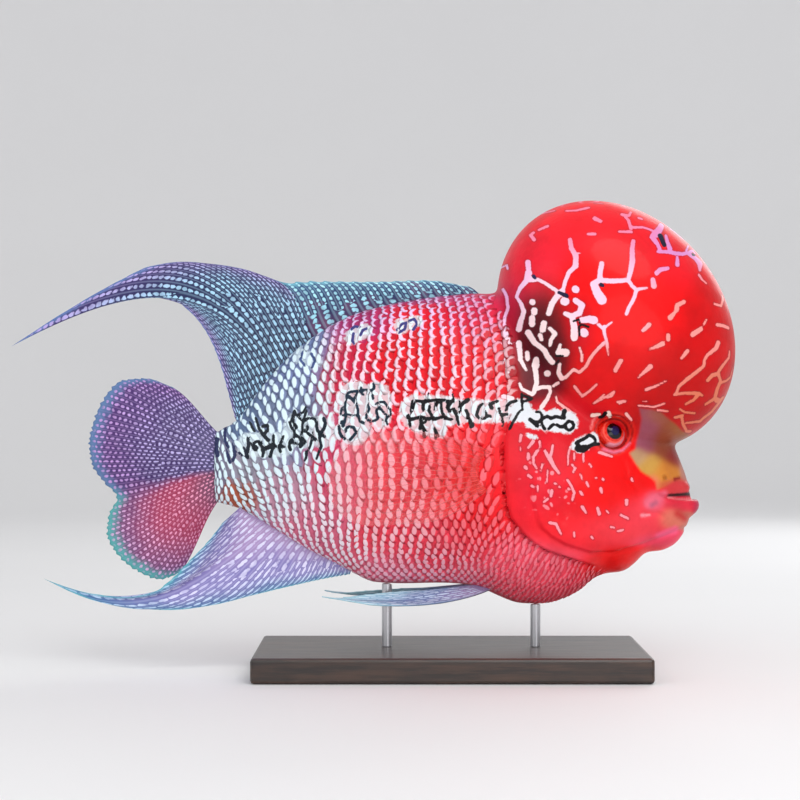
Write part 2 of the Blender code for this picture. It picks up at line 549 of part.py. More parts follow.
def ray_fan(root, tip, leave, arrive, leave_reach=None, arrive_reach=None):
    """The rays of a fin, as a function of share and along. Each leaves its root one way, and reaches its tip
    another, in degrees. The reaches say how far each of the two ways holds, as shares of the ray."""
    plain_reach = ((0.0, 0.33), (1.0, 0.33))
    tables = (root, tip, leave, arrive, leave_reach or plain_reach, arrive_reach or plain_reach)
    root, tip, leave, arrive, leave_reach, arrive_reach = [profile(table) for table in tables]

    def heading(degrees):
        return Vector((math.cos(math.radians(degrees)), math.sin(math.radians(degrees))))

    def point(share, along):
        start, end = Vector(root(share)), Vector(tip(share))
        length = (end - start).length
        first = start + length * leave_reach(share) * heading(leave(share))
        last = end - length * arrive_reach(share) * heading(arrive(share))
        back = 1 - along
        return (back ** 3 * start + 3 * back * back * along * first + 3 * back * along * along * last
                + along ** 3 * end)

    return point


def ray_columns(middles):
    """The columns of a fin's mesh: a crest on each ray, and the two feet of its ridge. Each has a height."""
    columns = []
    for k, middle in enumerate(middles):
        if k > 0:
            columns.append((middle - RAY_FOOT * (middle - middles[k - 1]), 0.0))
        columns.append((middle, 1.0))
        if k < len(middles) - 1:
            columns.append((middle + RAY_FOOT * (middles[k + 1] - middle), 0.0))
    return columns


def fin_sheet(name, collection, surface, columns, stations, root_girth=RAY_ROOT_GIRTH):
    """A thin closed fin. The surface gives the middle point at (share, along), and rays stand up as ridges."""
    stations = [float(along) for along in stations]
    grid = [[surface(share, along) for along in stations] for share, _ in columns]
    shape = bmesh.new()
    faces = [[], []]
    wide, tall = len(columns), len(stations)
    for a in range(wide):
        for b in range(tall):
            here = grid[a][b]
            across = grid[min(a + 1, wide - 1)][b] - grid[max(a - 1, 0)][b]
            lengthways = grid[a][min(b + 1, tall - 1)] - grid[a][max(b - 1, 0)]
            normal = across.cross(lengthways).normalized()
            girth = root_girth + (RAY_TIP_GIRTH - root_girth) * stations[b]
            half = (WEB + columns[a][1] * (girth - WEB)) / 2
            faces[0].append(shape.verts.new(here + normal * half))
            faces[1].append(shape.verts.new(here - normal * half))

    def corner(layer, a, b):
        return faces[layer][a * tall + b]

    for a in range(wide - 1):
        for b in range(tall - 1):
            for layer in (0, 1):
                shape.faces.new((corner(layer, a, b), corner(layer, a + 1, b), corner(layer, a + 1, b + 1)))
                shape.faces.new((corner(layer, a, b), corner(layer, a + 1, b + 1), corner(layer, a, b + 1)))
    rim = [(a, 0) for a in range(wide)] + [(wide - 1, b) for b in range(1, tall)]
    rim += [(a, tall - 1) for a in range(wide - 2, -1, -1)] + [(0, b) for b in range(tall - 2, 0, -1)]
    for here, there in zip(rim, rim[1:] + rim[:1]):
        shape.faces.new((corner(0, *here), corner(0, *there), corner(1, *there)))
        shape.faces.new((corner(0, *here), corner(1, *there), corner(1, *here)))
    return object_from(shape, name, collection)


def seat_on_body(piece, clearance):
    """Trims a piece back to the gap from the flesh, and keeps what stands outside it."""
    boolean(piece, clearance, "DIFFERENCE", "MANIFOLD")
    return keep_largest(piece)


def upright_surface(fan, drift):
    """A fin in the middle plane, which drifts sideways by a given amount as a function of share and along."""
    def surface(share, along):
        flat = fan(share, along)
        return Vector((flat.x, drift(share, along), flat.y))

    return surface


def streamer(name, collection, upper, lower):
    """The long tip that trails behind a fin: a strip between two edges, thickest along its middle."""
    upper, lower = profile(upper), profile(lower)

    def surface(share, along):
        return Vector(upper(along)).lerp(Vector(lower(along)), share)

    columns = ((0.0, 0.0), (0.25, 0.0), (0.5, 1.0), (0.75, 0.0), (1.0, 0.0))
    return fin_sheet(name, collection, surface, columns, np.linspace(0, 1, STREAMER_STATIONS))


def split_fin(piece, routes, names, collection, scratch):
    """Parts a fin with thin cuts, keeps as many of its largest lengths as there are names, and names them
    from front to rear."""
    for route in routes:
        ribbon_cutter("fin_border", scratch, route)
    boolean(piece, scratch, "DIFFERENCE", "MANIFOLD")
    empty_out(scratch)
    lengths = loose_shapes(piece)[:len(names)]
    bpy.data.objects.remove(piece)
    lengths.sort(key=lambda length: -sum(v.co.x for v in length.verts) / len(length.verts))
    for length, name in zip(lengths, names):
        object_from(length, name, collection)


def upright_cut(x, middle):
    return [(x, middle + rise) for rise in (-0.12, -0.04, 0.04, 0.12)]


def dorsal_fins(fish, clearance, scratch):
    def drift(share, along):
        return 0.0016 * math.sin(9.0 * share) * max(along, 0.0) ** 1.5

    surface = upright_surface(ray_fan(DORSAL_ROOT, DORSAL_TIP, DORSAL_LEAVE, DORSAL_ARRIVE,
                                      DORSAL_LEAVE_REACH, DORSAL_ARRIVE_REACH), drift)
    spines = np.linspace(0.0, DORSAL_LAST_SPINE, DORSAL_SPINES)
    soft_rays = np.linspace(DORSAL_FIRST_SOFT, 1.0, DORSAL_SOFT_RAYS)
    columns = ray_columns([*spines, *soft_rays])
    fin = fin_sheet("dorsal_fin", fish, surface, columns, np.linspace(0, 1, 8), SPINE_ROOT_GIRTH)
    seat_on_body(fin, clearance)
    border = [surface(DORSAL_BORDER, along) for along in (-0.2, 0.0, 0.2, 0.4, 0.6, 0.8, 0.92)]
    border.append(border[-1] + Vector((-0.002, 0.0, 0.012)))
    routes = [[(p.x, p.z) for p in border], upright_cut(STREAMER_CUT_X, 0.19)]
    split_fin(fin, routes, ("dorsal_fin_spiny", "dorsal_fin_soft"), fish, scratch)
    streamer("dorsal_streamer", fish, DORSAL_STREAMER_UPPER, DORSAL_STREAMER_LOWER)


def anal_fin(fish, clearance, scratch):
    def drift(share, along):
        return ANAL_DRIFT * share ** 1.2 * min(1.0, 1.6 * along) - 0.0012 * math.sin(7.0 * share) * along

    fan = ray_fan(ANAL_ROOT, ANAL_TIP, ANAL_LEAVE, ANAL_ARRIVE, ANAL_LEAVE_REACH, ANAL_ARRIVE_REACH)
    surface = upright_surface(fan, drift)
    columns = ray_columns(np.linspace(0, 1, ANAL_RAYS))
    fin = fin_sheet("anal_fin_whole", fish, surface, columns, np.linspace(0, 1, 8))
    seat_on_body(fin, clearance)
    split_fin(fin, [upright_cut(ANAL_STREAMER_CUT_X, 0.05)], ("anal_fin",), fish, scratch)
    streamer("anal_streamer", fish, ANAL_STREAMER_UPPER, ANAL_STREAMER_LOWER)


def caudal_fin(fish, clearance):
    def drift(share, along):
        fold = 1 / (1 + math.exp(-18.0 * (share - 0.58)))
        return CAUDAL_DRIFT * (fold - 0.22) * min(1.0, 1.9 * along) + 0.0012 * math.sin(14.0 * share) * along

    surface = upright_surface(ray_fan(CAUDAL_ROOT, CAUDAL_TIP, CAUDAL_LEAVE, CAUDAL_ARRIVE), drift)
    columns = ray_columns(np.linspace(0, 1, CAUDAL_RAYS))
    fin = fin_sheet("caudal_fin", fish, surface, columns, np.linspace(0, 1, 7))
    return seat_on_body(fin, clearance)


def pectoral_fin(name, fish, clearance, side):
    fan = ray_fan(PECTORAL_ROOT, PECTORAL_TIP, PECTORAL_LEAVE, PECTORAL_ARRIVE)

    def surface(share, along):
        flat = fan(share, along)
        swing = (PECTORAL_TIP_Y - PECTORAL_ROOT_Y) * math.sin(0.5 * math.pi * min(1.0, 1.15 * along))
        ripple = 0.0011 * math.sin(11.0 * share + 1.0) * along * along
        return Vector((flat.x, side * (PECTORAL_ROOT_Y + swing + ripple), flat.y))

    fin = fin_sheet(name, fish, surface, ray_columns(np.linspace(0, 1, PECTORAL_RAYS)), np.linspace(0, 1, 6))
    return seat_on_body(fin, clearance)


def pelvic_fin(name, fish, clearance, side):
    fan = ray_fan(PELVIC_ROOT, PELVIC_TIP, PELVIC_LEAVE, PELVIC_ARRIVE)

    def surface(share, along):
        flat = fan(share, along)
        spread = PELVIC_OUTER_Y + (PELVIC_INNER_Y - PELVIC_OUTER_Y) * share - PELVIC_ROOT_Y
        swing = PELVIC_ROOT_Y - 0.003 * share + spread * math.sin(0.5 * math.pi * along)
        return Vector((flat.x, side * swing, flat.y))

    columns = ray_columns(np.linspace(0, 1, PELVIC_RAYS))
    fin = fin_sheet(name, fish, surface, columns, np.linspace(0, 1, 6), SPINE_ROOT_GIRTH)
    return seat_on_body(fin, clearance)


def gill_cover(name, fish, clearance, side):
    """The bony cover of the gills: a raised plate on the cheek with a free edge behind and below."""
    outline = profile([(k, *point) for k, point in enumerate(GILL_COVER_OUTLINE + GILL_COVER_OUTLINE[:1])])
    turns = np.linspace(0, len(GILL_COVER_OUTLINE), GILL_COVER_POINTS, endpoint=False)
    rim = [Vector(outline(turn)) for turn in turns]
    middle = Vector(GILL_COVER_MIDDLE)
    shape = bmesh.new()
    layers = []
    for outer in (False, True):
        rings = []
        for k in range(1, GILL_COVER_RINGS + 1):
            share = (k / GILL_COVER_RINGS) ** 0.85
            swell = GILL_COVER_EDGE + (GILL_COVER_THICKNESS - GILL_COVER_EDGE) * (1 - share ** 4)
            lift = swell if outer else -GILL_COVER_SUNK
            places = [middle.lerp(point, share) for point in rim]
            rings.append([shape.verts.new((p.x, side * (flank(p.x, p.y) + lift), p.y)) for p in places])
        lift = GILL_COVER_THICKNESS if outer else -GILL_COVER_SUNK
        crown = shape.verts.new((middle.x, side * (flank(*middle) + lift), middle.y))
        for k in range(GILL_COVER_POINTS):
            shape.faces.new((crown, rings[0][k], rings[0][(k + 1) % GILL_COVER_POINTS]))
        for ring, wider in zip(rings, rings[1:]):
            for k in range(GILL_COVER_POINTS):
                after = (k + 1) % GILL_COVER_POINTS
                shape.faces.new((ring[k], ring[after], wider[after]))
                shape.faces.new((ring[k], wider[after], wider[k]))
        layers.append(rings[-1])
    for k in range(GILL_COVER_POINTS):
        after = (k + 1) % GILL_COVER_POINTS
        shape.faces.new((layers[0][k], layers[0][after], layers[1][after]))
        shape.faces.new((layers[0][k], layers[1][after], layers[1][k]))
    return seat_on_body(object_from(shape, name, fish), clearance)


def stand(fish, clearance):
    length, width, height = STAND_BASE
    bpy.ops.mesh.primitive_cube_add(size=1.0, location=(0, 0, height / 2), scale=STAND_BASE)
    base = take_active("stand_base", fish)
    edge = base.modifiers.new("edge", "BEVEL")
    edge.width = STAND_BASE_EDGE
    edge.segments = 2
    for name, x in ROD_PLACES.items():
        tall = ROD_TOP - height - GAP
        bpy.ops.mesh.primitive_cylinder_add(vertices=20, radius=ROD_RADIUS, depth=tall,
                                            location=(x, 0, height + GAP + tall / 2))
        rod = take_active(name, fish)
        seat_on_body(rod, clearance)


def finish_surfaces():
    """Gives each node its material, and smooths the round ones."""
    finishes = (
        (make_material("red flesh", RED, 0.35), ("head", "nuchal_hump", "torso", "gill_cover")),
        (make_material("lip flesh", PALE_RED, 0.35), ("lower_jaw",)),
        (make_material("pearly flesh", PEARL_BLUE, 0.35), ("tail_stem",)),
        (make_material("fin membrane", FIN_BLUE, 0.45), ("dorsal", "anal", "caudal", "pectoral", "pelvic")),
        (make_material("eye gloss", DEEP_RED, 0.1), ("eye",)),
        (make_material("rod steel", STEEL, 0.3, 1.0), ("stand_rod",)),
        (make_material("base wood", DARK_WOOD, 0.4), ("stand_base",)),
    )
    for material, starts in finishes:
        for piece in bpy.data.objects:
            if piece.name.startswith(starts):
                piece.data.materials.clear()
                piece.data.materials.append(material)
                piece.data.shade_smooth()
                piece.data.set_sharp_from_angle(angle=math.radians(35))


def main():
    clear_scene()
    fish = make_collection("flowerhorn_cichlid")
    scratch = make_collection("cutters", helper=True)
    clearance = make_collection("clearance", helper=True)
    as_helper(whole_body(clearance, scratch, GAP))
    part_the_body(whole_body(fish, scratch), fish, scratch)
    for side, word in ((1, "left"), (-1, "right")):
        eyeball(f"eye_{word}", fish, side)
        gill_cover(f"gill_cover_{word}", fish, clearance, side)
        pectoral_fin(f"pectoral_fin_{word}", fish, clearance, side)
        pelvic_fin(f"pelvic_fin_{word}", fish, clearance, side)
    dorsal_fins(fish, clearance, scratch)
    anal_fin(fish, clearance, scratch)
    caudal_fin(fish, clearance)
    stand(fish, clearance)
    finish_surfaces()


main()
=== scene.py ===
"""The finished surface of a life-size flowerhorn cichlid model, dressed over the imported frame.

The fish faces +X and shows its right flank to -Y. Its marks are drawn on the flank in drawing units
of 0.492 mm, counted right and down from a corner above the tail, and both flanks carry them.
"""

import math

import bmesh
import bpy
import numpy as np
from mathutils import Matrix, Vector


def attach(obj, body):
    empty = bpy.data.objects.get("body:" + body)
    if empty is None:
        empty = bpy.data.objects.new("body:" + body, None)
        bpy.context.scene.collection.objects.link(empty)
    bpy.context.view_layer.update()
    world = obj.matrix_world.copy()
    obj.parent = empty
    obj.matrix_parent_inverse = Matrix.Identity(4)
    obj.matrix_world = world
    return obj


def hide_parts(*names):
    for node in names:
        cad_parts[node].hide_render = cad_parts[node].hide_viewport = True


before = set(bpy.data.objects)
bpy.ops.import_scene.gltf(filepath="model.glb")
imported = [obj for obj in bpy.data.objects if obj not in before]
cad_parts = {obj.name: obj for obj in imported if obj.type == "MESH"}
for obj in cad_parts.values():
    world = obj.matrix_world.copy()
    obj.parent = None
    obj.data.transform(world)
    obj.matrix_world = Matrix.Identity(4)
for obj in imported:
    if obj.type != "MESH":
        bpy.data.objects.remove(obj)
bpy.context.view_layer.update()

UNIT = 0.000492                      # one drawing unit, in metres
DRAWING_X, DRAWING_Z = 450.0, 671.0  # where the drawing has the frame's origin
SEED = 7
SIDES = ((1, "left"), (-1, "right"))
NO_GAP = 1e-12

# The trunk from the tail's stem to the snout: x with a height, a half width or a share at it.
BACK_LINE = ((-0.1165, 0.1185), (-0.106, 0.1235), (-0.0984, 0.1333), (-0.0886, 0.1462), (-0.0738, 0.1605),
             (-0.059, 0.1705), (-0.0443, 0.1772), (-0.0246, 0.182), (-0.005, 0.185), (0.0148, 0.1865),
             (0.034, 0.181), (0.054, 0.166), (0.074, 0.148), (0.0935, 0.131), (0.107, 0.1165), (0.113, 0.104),
             (0.116, 0.0955), (0.1172, 0.0905))
BELLY_LINE = ((-0.1165, 0.082), (-0.106, 0.0798), (-0.0984, 0.0762), (-0.0836, 0.0674), (-0.0689, 0.0585),
              (-0.0541, 0.0512), (-0.0465, 0.047), (-0.0384, 0.0432), (-0.0246, 0.0424), (-0.005, 0.0428),
              (0.0098, 0.0418), (0.0172, 0.0394), (0.0246, 0.036), (0.0344, 0.0328), (0.0443, 0.0325),
              (0.0541, 0.0347), (0.064, 0.0397), (0.071, 0.0458), (0.0765, 0.0482), (0.084, 0.0488),
              (0.0905, 0.053), (0.0964, 0.0585), (0.103, 0.0592), (0.1092, 0.0617), (0.1142, 0.067),
              (0.1172, 0.074))
HALF_WIDTH = ((-0.1165, 0.0034), (-0.106, 0.0072), (-0.0984, 0.0102), (-0.08, 0.0162), (-0.06, 0.022),
              (-0.04, 0.0274), (-0.02, 0.0315), (0.0, 0.0342), (0.02, 0.0355), (0.04, 0.035), (0.06, 0.033),
              (0.076, 0.0298), (0.09, 0.025), (0.1, 0.0205), (0.108, 0.016), (0.1135, 0.0115),
              (0.1172, 0.0068))
WIDEST_SHARE = ((-0.1165, 0.5), (-0.06, 0.5), (0.0, 0.48), (0.05, 0.47), (0.09, 0.47), (0.1172, 0.52))
BACK_FULLNESS = ((-0.1165, 1.0), (-0.08, 1.15), (0.0, 1.1), (0.06, 1.0), (0.1172, 0.95))
BELLY_FULLNESS = ((-0.1165, 1.0), (-0.06, 1.15), (-0.02, 1.0), (0.04, 0.98), (0.08, 0.86), (0.1172, 0.9))
TRUNK_RINGS, TRUNK_SIDES = 190, 112

HUMP_CENTRE = (0.0814, 0.1702)
HUMP_LONG, HUMP_SHORT, HUMP_HALF_WIDTH = 0.0658, 0.0528, 0.0455
HUMP_SLOPE = math.radians(-51)
HUMP_SIDE_FULLNESS = 2.35
HUMP_RINGS, HUMP_SIDES = 72, 120

EYE_PLACE = (0.0777, 0.1180)
EYE_RADIUS, EYE_DEPTH, EYE_PROUD = 0.0076, 0.0056, 0.0022
EYE_RINGS, EYE_SIDES = 48, 64
ORBIT_RADIUS, ORBIT_GIRTH, ORBIT_LIFT = 0.0088, 0.0015, -0.0004
ORBIT_STEPS, ORBIT_SIDES = 64, 14
NOSTRIL_PLACE = (0.1036, 0.0957)
MOUTH_CORNER = (0.1000, 0.0872)
LIP_START, LIP_BEND = 0.0015, 0.1128  # ahead of the corner, and where the lips' sides turn inwards
LIP_SINK, LIP_TURN = 0.0012, 0.0050  # how deep the sides sit in the flank, and half the width at the turn
UPPER_LIP = (0.0905, 0.1152, 0.0030)  # height, front and girth
LOWER_LIP = (0.0822, 0.1188, 0.0038)
LIP_CORNER_GIRTH = 0.0019

VOXEL = 0.00092
SKIN_TRIANGLES = 196000
EVEN_ROUNDS, EVEN_PULL, FINE_PULL = 26, 0.5, 0.41  # FINE_PULL comes off the pull round the lips and eyes
SKIN_DROP = 0.00055                  # how much deeper the skin lies under the scales
EYE_SINK = (0.0022, 0.0058, 0.0082)  # depth, and the radii that it fades between
NOSTRIL_PIT, NOSTRIL_RIM = (0.0011, 0.0014), (0.0021, 0.0008, 0.0005)
BODY_AXIS = 0.11                     # the height that the bake maps turn about


def curve_through(stations):
    """A smooth curve through the stations that never overshoots them, for one place or an array of them."""
    table = np.array(stations, float)
    at, values = table[:, 0], table[:, 1:]
    step = np.diff(at)[:, None]
    slope = np.diff(values, axis=0) / step
    tangent = np.zeros_like(values)
    before, after = slope[:-1], slope[1:]
    same_way = before * after > 0
    first, second = 2 * step[1:] + step[:-1], step[1:] + 2 * step[:-1]
    safe_before, safe_after = np.where(same_way, before, 1), np.where(same_way, after, 1)
    weighted = 3 * (step[:-1] + step[1:]) / (first / safe_before + second / safe_after)
    tangent[1:-1] = np.where(same_way, weighted, 0)
    tangent[0], tangent[-1] = slope[0], slope[-1]

    def value(x):
        x = np.clip(np.asarray(x, float), at[0], at[-1])
        k = np.clip(np.searchsorted(at, x, side="right") - 1, 0, len(at) - 2)
        h = (at[k + 1] - at[k])[..., None]
        t = (x - at[k])[..., None] / h
        smooth = ((1 + 2 * t) * (1 - t) ** 2 * values[k] + t * (1 - t) ** 2 * h * tangent[k]
                  + t * t * (3 - 2 * t) * values[k + 1] + t * t * (t - 1) * h * tangent[k + 1])
        return smooth if values.shape[1] > 1 else smooth[..., 0]

    return value


back_line, belly_line, half_width = map(curve_through, (BACK_LINE, BELLY_LINE, HALF_WIDTH))
widest_share = curve_through(WIDEST_SHARE)
back_fullness, belly_fullness = curve_through(BACK_FULLNESS), curve_through(BELLY_FULLNESS)


def smoothstep(low, high, value):
    share = np.clip((value - low) / (high - low), 0, 1)
    return share * share * (3 - 2 * share)


def drawn(points):
    """Drawing units to metres: columns of x and z."""
    table = np.array(points, float)
    return np.stack([(table[..., 0] - DRAWING_X) * UNIT, (DRAWING_Z - table[..., 1]) * UNIT], -1)


def section_points(x, turn):
    """Points of the trunk's sections. The turn runs from 0, on the back, round the left side."""
    top, bottom = back_line(x), belly_line(x)
    waist = bottom + widest_share(x) * (top - bottom)
    up, side = np.cos(turn), np.sin(turn)
    height = np.where(up > 0, top - waist, waist - bottom)
    fullness = np.where(up > 0, back_fullness(x), belly_fullness(x))
    reach = half_width(x) * np.abs(side) ** fullness
    return np.stack([x + 0 * turn, np.sign(side) * reach, waist + height * up], -1)


def flank(x, z):
    """How far the flesh reaches sideways at (x, z)."""
    top, bottom = back_line(x), belly_line(x)
    waist = bottom + widest_share(x) * (top - bottom)
    upper = z > waist
    up = np.minimum(np.abs(z - waist) / np.where(upper, top - waist, waist - bottom), 1.0)
    return half_width(x) * np.sqrt(1 - up * up) ** np.where(upper, back_fullness(x), belly_fullness(x))


def flank_seat(place, lift, side):
    """A point on the trunk's flank raised by lift, and the outward direction there."""
    x, z = place
    step = 0.0005
    normal = Vector((-(flank(x + step, z) - flank(x - step, z)) / (2 * step), 1.0,
                     -(flank(x, z + step) - flank(x, z - step)) / (2 * step))).normalized()
    seat = Vector((x, float(flank(x, z)), z)) + normal * lift
    return Vector((seat.x, side * seat.y, seat.z)), Vector((normal.x, side * normal.y, normal.z))


def full_turn(steps):
    return np.linspace(0, 2 * math.pi, steps, endpoint=False)


def mesh_object(name, points, faces):
    data = bpy.data.meshes.new(name)
    data.from_pydata(np.asarray(points, float).reshape(-1, 3).tolist(), [], faces)
    data.shade_smooth()
    made = bpy.data.objects.new(name, data)
    bpy.context.scene.collection.objects.link(made)
    return made


def evaluated(piece):
    """The piece with its modifiers applied and removed."""
    bpy.context.view_layer.update()
    graph = bpy.context.evaluated_depsgraph_get()
    made = bpy.data.meshes.new_from_object(piece.evaluated_get(graph))
    piece.modifiers.clear()
    piece.data = made
    return piece


def grid_faces(rows, columns, rows_close=False, columns_close=False):
    """Faces of a grid of points, row after row. Rows or columns that close join their end to their start."""
    faces = []
    for a in range(rows if rows_close else rows - 1):
        here, there = a * columns, (a + 1) % rows * columns
        for b in range(columns if columns_close else columns - 1):
            after = (b + 1) % columns
            faces.append((here + b, there + b, there + after, here + after))
    return faces


def grid_rim(first, step, second, other_step):
    """The points round a grid: one side, the next, and back."""
    far, wide = (first - 1) * step, (second - 1) * other_step
    return ([a * step for a in range(first)] + [far + b * other_step for b in range(1, second)]
            + [a * step + wide for a in range(first - 2, -1, -1)]
            + [b * other_step for b in range(second - 2, 0, -1)])


def tube_faces(rings, sides):
    """Faces of a grid of rings, and one face over each end."""
    faces = [(a, d, c, b) for a, b, c, d in grid_faces(rings, sides, columns_close=True)]
    return faces + [tuple(range(sides))[::-1], tuple(range((rings - 1) * sides, rings * sides))]


def turned_out(piece):
    """Turns every face of the piece outwards."""
    shape = bmesh.new()
    shape.from_mesh(piece.data)
    bmesh.ops.recalc_face_normals(shape, faces=shape.faces)
    shape.to_mesh(piece.data)
    shape.free()


def read_rows(items, count, field):
    found = np.empty(count * 3)
    items.foreach_get(field, found)
    return found.reshape(-1, 3)


def points_of(data):
    return read_rows(data.vertices, len(data.vertices), "co")


def normals_of(data):
    return read_rows(data.vertex_normals, len(data.vertices), "vector")


def values_of(data, name):
    found = np.empty(len(data.vertices))
    data.attributes[name].data.foreach_get("value", found)
    return found


def put_points(data, points):
    data.vertices.foreach_set("co", np.ascontiguousarray(points, float).ravel())
    data.update()


def put_values(data, **tables):
    """Keeps one number, or one colour, for each point of the mesh under each name."""
    for name, values in tables.items():
        values = np.asarray(values, float)
        kind, field = ("FLOAT", "value") if values.ndim == 1 else ("FLOAT_COLOR", "color")
        if field == "color":
            values = np.column_stack([values, np.ones(len(values))])
        layer = data.attributes.get(name) or data.attributes.new(name, kind, "POINT")
        layer.data.foreach_set(field, values.ravel())


def linear(*colour):
    """A colour given from 0 to 255, as the shaders read it."""
    share = np.array(colour, float) / 255
    return np.where(share <= 0.04045, share / 12.92, ((share + 0.055) / 1.055) ** 2.4)


# The flesh: trunk, hump, lips and eye rims, melted into one skin.

def trunk_form():
    stations = np.linspace(BACK_LINE[0][0], BACK_LINE[-1][0], TRUNK_RINGS)
    points = section_points(stations[:, None], full_turn(TRUNK_SIDES)[None, :])
    return points.reshape(-1, 3), tube_faces(TRUNK_RINGS, TRUNK_SIDES)


def hump_form():
    """A ball with its poles on the fish's two sides, drawn out along its slope."""
    sideways = np.sin(np.radians(np.linspace(-89, 89, HUMP_RINGS)))[:, None]
    turns = full_turn(HUMP_SIDES)[None, :]
    ring = (1 - np.abs(sideways) ** HUMP_SIDE_FULLNESS) ** (1 / HUMP_SIDE_FULLNESS)
    along, across = ring * np.cos(turns) * HUMP_LONG, ring * np.sin(turns) * HUMP_SHORT
    cosine, sine = math.cos(HUMP_SLOPE), math.sin(HUMP_SLOPE)
    points = np.stack([HUMP_CENTRE[0] + along * cosine - across * sine,
                       sideways * HUMP_HALF_WIDTH + 0 * turns,
                       HUMP_CENTRE[1] + along * sine + across * cosine], -1)
    return points.reshape(-1, 3), tube_faces(HUMP_RINGS, HUMP_SIDES)


def tube_form(route, radii, sides=16):
    """A closed tube of varied thickness along a route."""
    ahead = np.gradient(route, axis=0)
    ahead /= np.linalg.norm(ahead, axis=1)[:, None]
    across = np.cross(ahead, np.array([0.0, 0.0, 1.0]))
    across /= np.linalg.norm(across, axis=1)[:, None]
    upward = np.cross(across, ahead)
    turn = full_turn(sides)
    ring = np.cos(turn)[None, :, None] * across[:, None] + np.sin(turn)[None, :, None] * upward[:, None]
    return (route[:, None] + ring * radii[:, None, None]).reshape(-1, 3), tube_faces(len(route), sides)


def lip_form(height, front, girth):
    """A fleshy lip that follows the snout's edge from one corner of the mouth to the other."""
    side = []
    for share in np.linspace(0, 1, 7):
        x = MOUTH_CORNER[0] + LIP_START + share * (LIP_BEND - MOUTH_CORNER[0])
        y = float(flank(x, height)) - LIP_SINK - 0.0010 * share
        drop = (height - MOUTH_CORNER[1]) * (0.55 + 0.45 * share)
        side.append((x, y, MOUTH_CORNER[1] + drop, share * 0.8))
    side.append((front - LIP_SINK, LIP_TURN, height, 0.95))
    route = side + [(front, 0.0, height, 1.0)] + [(x, -y, z, share) for x, y, z, share in reversed(side)]
    fine = curve_through([(k, *place) for k, place in enumerate(route)])(np.linspace(0, len(route) - 1, 90))
    return tube_form(fine[:, :3], LIP_CORNER_GIRTH + fine[:, 3] * (girth - LIP_CORNER_GIRTH))


def orbit_form(side):
    """The round rim of an eye socket."""
    seat, normal = flank_seat(EYE_PLACE, ORBIT_LIFT, side)
    turned = normal.to_track_quat("Z", "Y").to_matrix()
    major, minor = full_turn(ORBIT_STEPS)[:, None], full_turn(ORBIT_SIDES)[None, :]
    away = ORBIT_RADIUS + ORBIT_GIRTH * np.cos(minor)
    local = np.stack([away * np.cos(major), away * np.sin(major),
                      ORBIT_GIRTH * np.sin(minor) + 0 * major], -1).reshape(-1, 3)
    return local @ np.array(turned).T + np.array(seat), grid_faces(ORBIT_STEPS, ORBIT_SIDES, True, True)


def joined(name, forms):
    points, faces, count = [], [], 0
    for form_points, form_faces in forms:
        points.append(form_points)
        faces += [tuple(index + count for index in face) for face in form_faces]
        count += len(form_points)
    return mesh_object(name, np.concatenate(points), faces)


def evened(data, points, pull, rounds):
    """The points drawn towards the middle of their neighbours, each by its own pull."""
    edges = np.empty(len(data.edges) * 2, np.int64)
    data.edges.foreach_get("vertices", edges)
    a, b = edges.reshape(-1, 2).T
    ends, size = np.r_[a, b], len(points)
    count = np.bincount(ends, minlength=size).astype(float)[:, None]
    for _ in range(rounds):
        total = np.stack([np.bincount(ends, np.r_[points[b, k], points[a, k]], size) for k in range(3)], 1)
        points = points + pull[:, None] * (total / count - points)
    return points


def line_field(x, z, line):
    """For each place: the distance to a drawn line, which side of it, and how far along it is nearest."""
    lengths = np.linalg.norm(np.diff(line, axis=0), axis=1)
    reached = np.r_[0, np.cumsum(lengths)] / lengths.sum()
    best = np.full(x.shape, 1e9)
    side, along = np.zeros(x.shape), np.zeros(x.shape)
    for k, (start, end) in enumerate(zip(line[:-1], line[1:])):
        run = end - start
        t = np.clip(((x - start[0]) * run[0] + (z - start[1]) * run[1]) / (run @ run), 0, 1)
        off_x, off_z = x - start[0] - t * run[0], z - start[1] - t * run[1]
        away = np.hypot(off_x, off_z)
        nearer = away < best
        best = np.where(nearer, away, best)
        side = np.where(nearer, np.sign(run[0] * off_z - run[1] * off_x), side)
        along = np.where(nearer, reached[k] + t * (reached[k + 1] - reached[k]), along)
    return best, side, along


GILL_LINE = drawn(((516, 402), (505, 420), (500, 440), (501, 470), (503, 500), (507, 515), (518, 529),
                   (530, 540), (545, 548), (560, 553), (575, 558), (597, 566)))
CHEEK_PLATE_LINE = drawn(((531, 470), (528, 500), (535, 522), (546, 532), (560, 540), (585, 548), (610, 549),
                          (640, 542)))
CHIN_FOLD = drawn(((614, 548), (640, 543), (660, 536), (672, 531), (684, 528)))
JAW_FOLD = drawn(((637, 513), (652, 511), (660, 515)))
MOUTH_LINE = drawn(((651, 491), (656, 494), (662, 496), (676, 497), (690, 497), (704, 497)))
CREASE_UNDER_EYE = drawn(((618, 455), (622, 475), (634, 490), (648, 494)))
CREASE_BEFORE_EYE = drawn(((596, 436), (612, 444), (628, 441)))
# Plates of the head: the line, how high the plate stands, how far it reaches, and the ditch behind it.
PLATES = ((GILL_LINE, 0.0017, 0.024, 0.0010), (CHEEK_PLATE_LINE, 0.0009, 0.016, 0.0005))
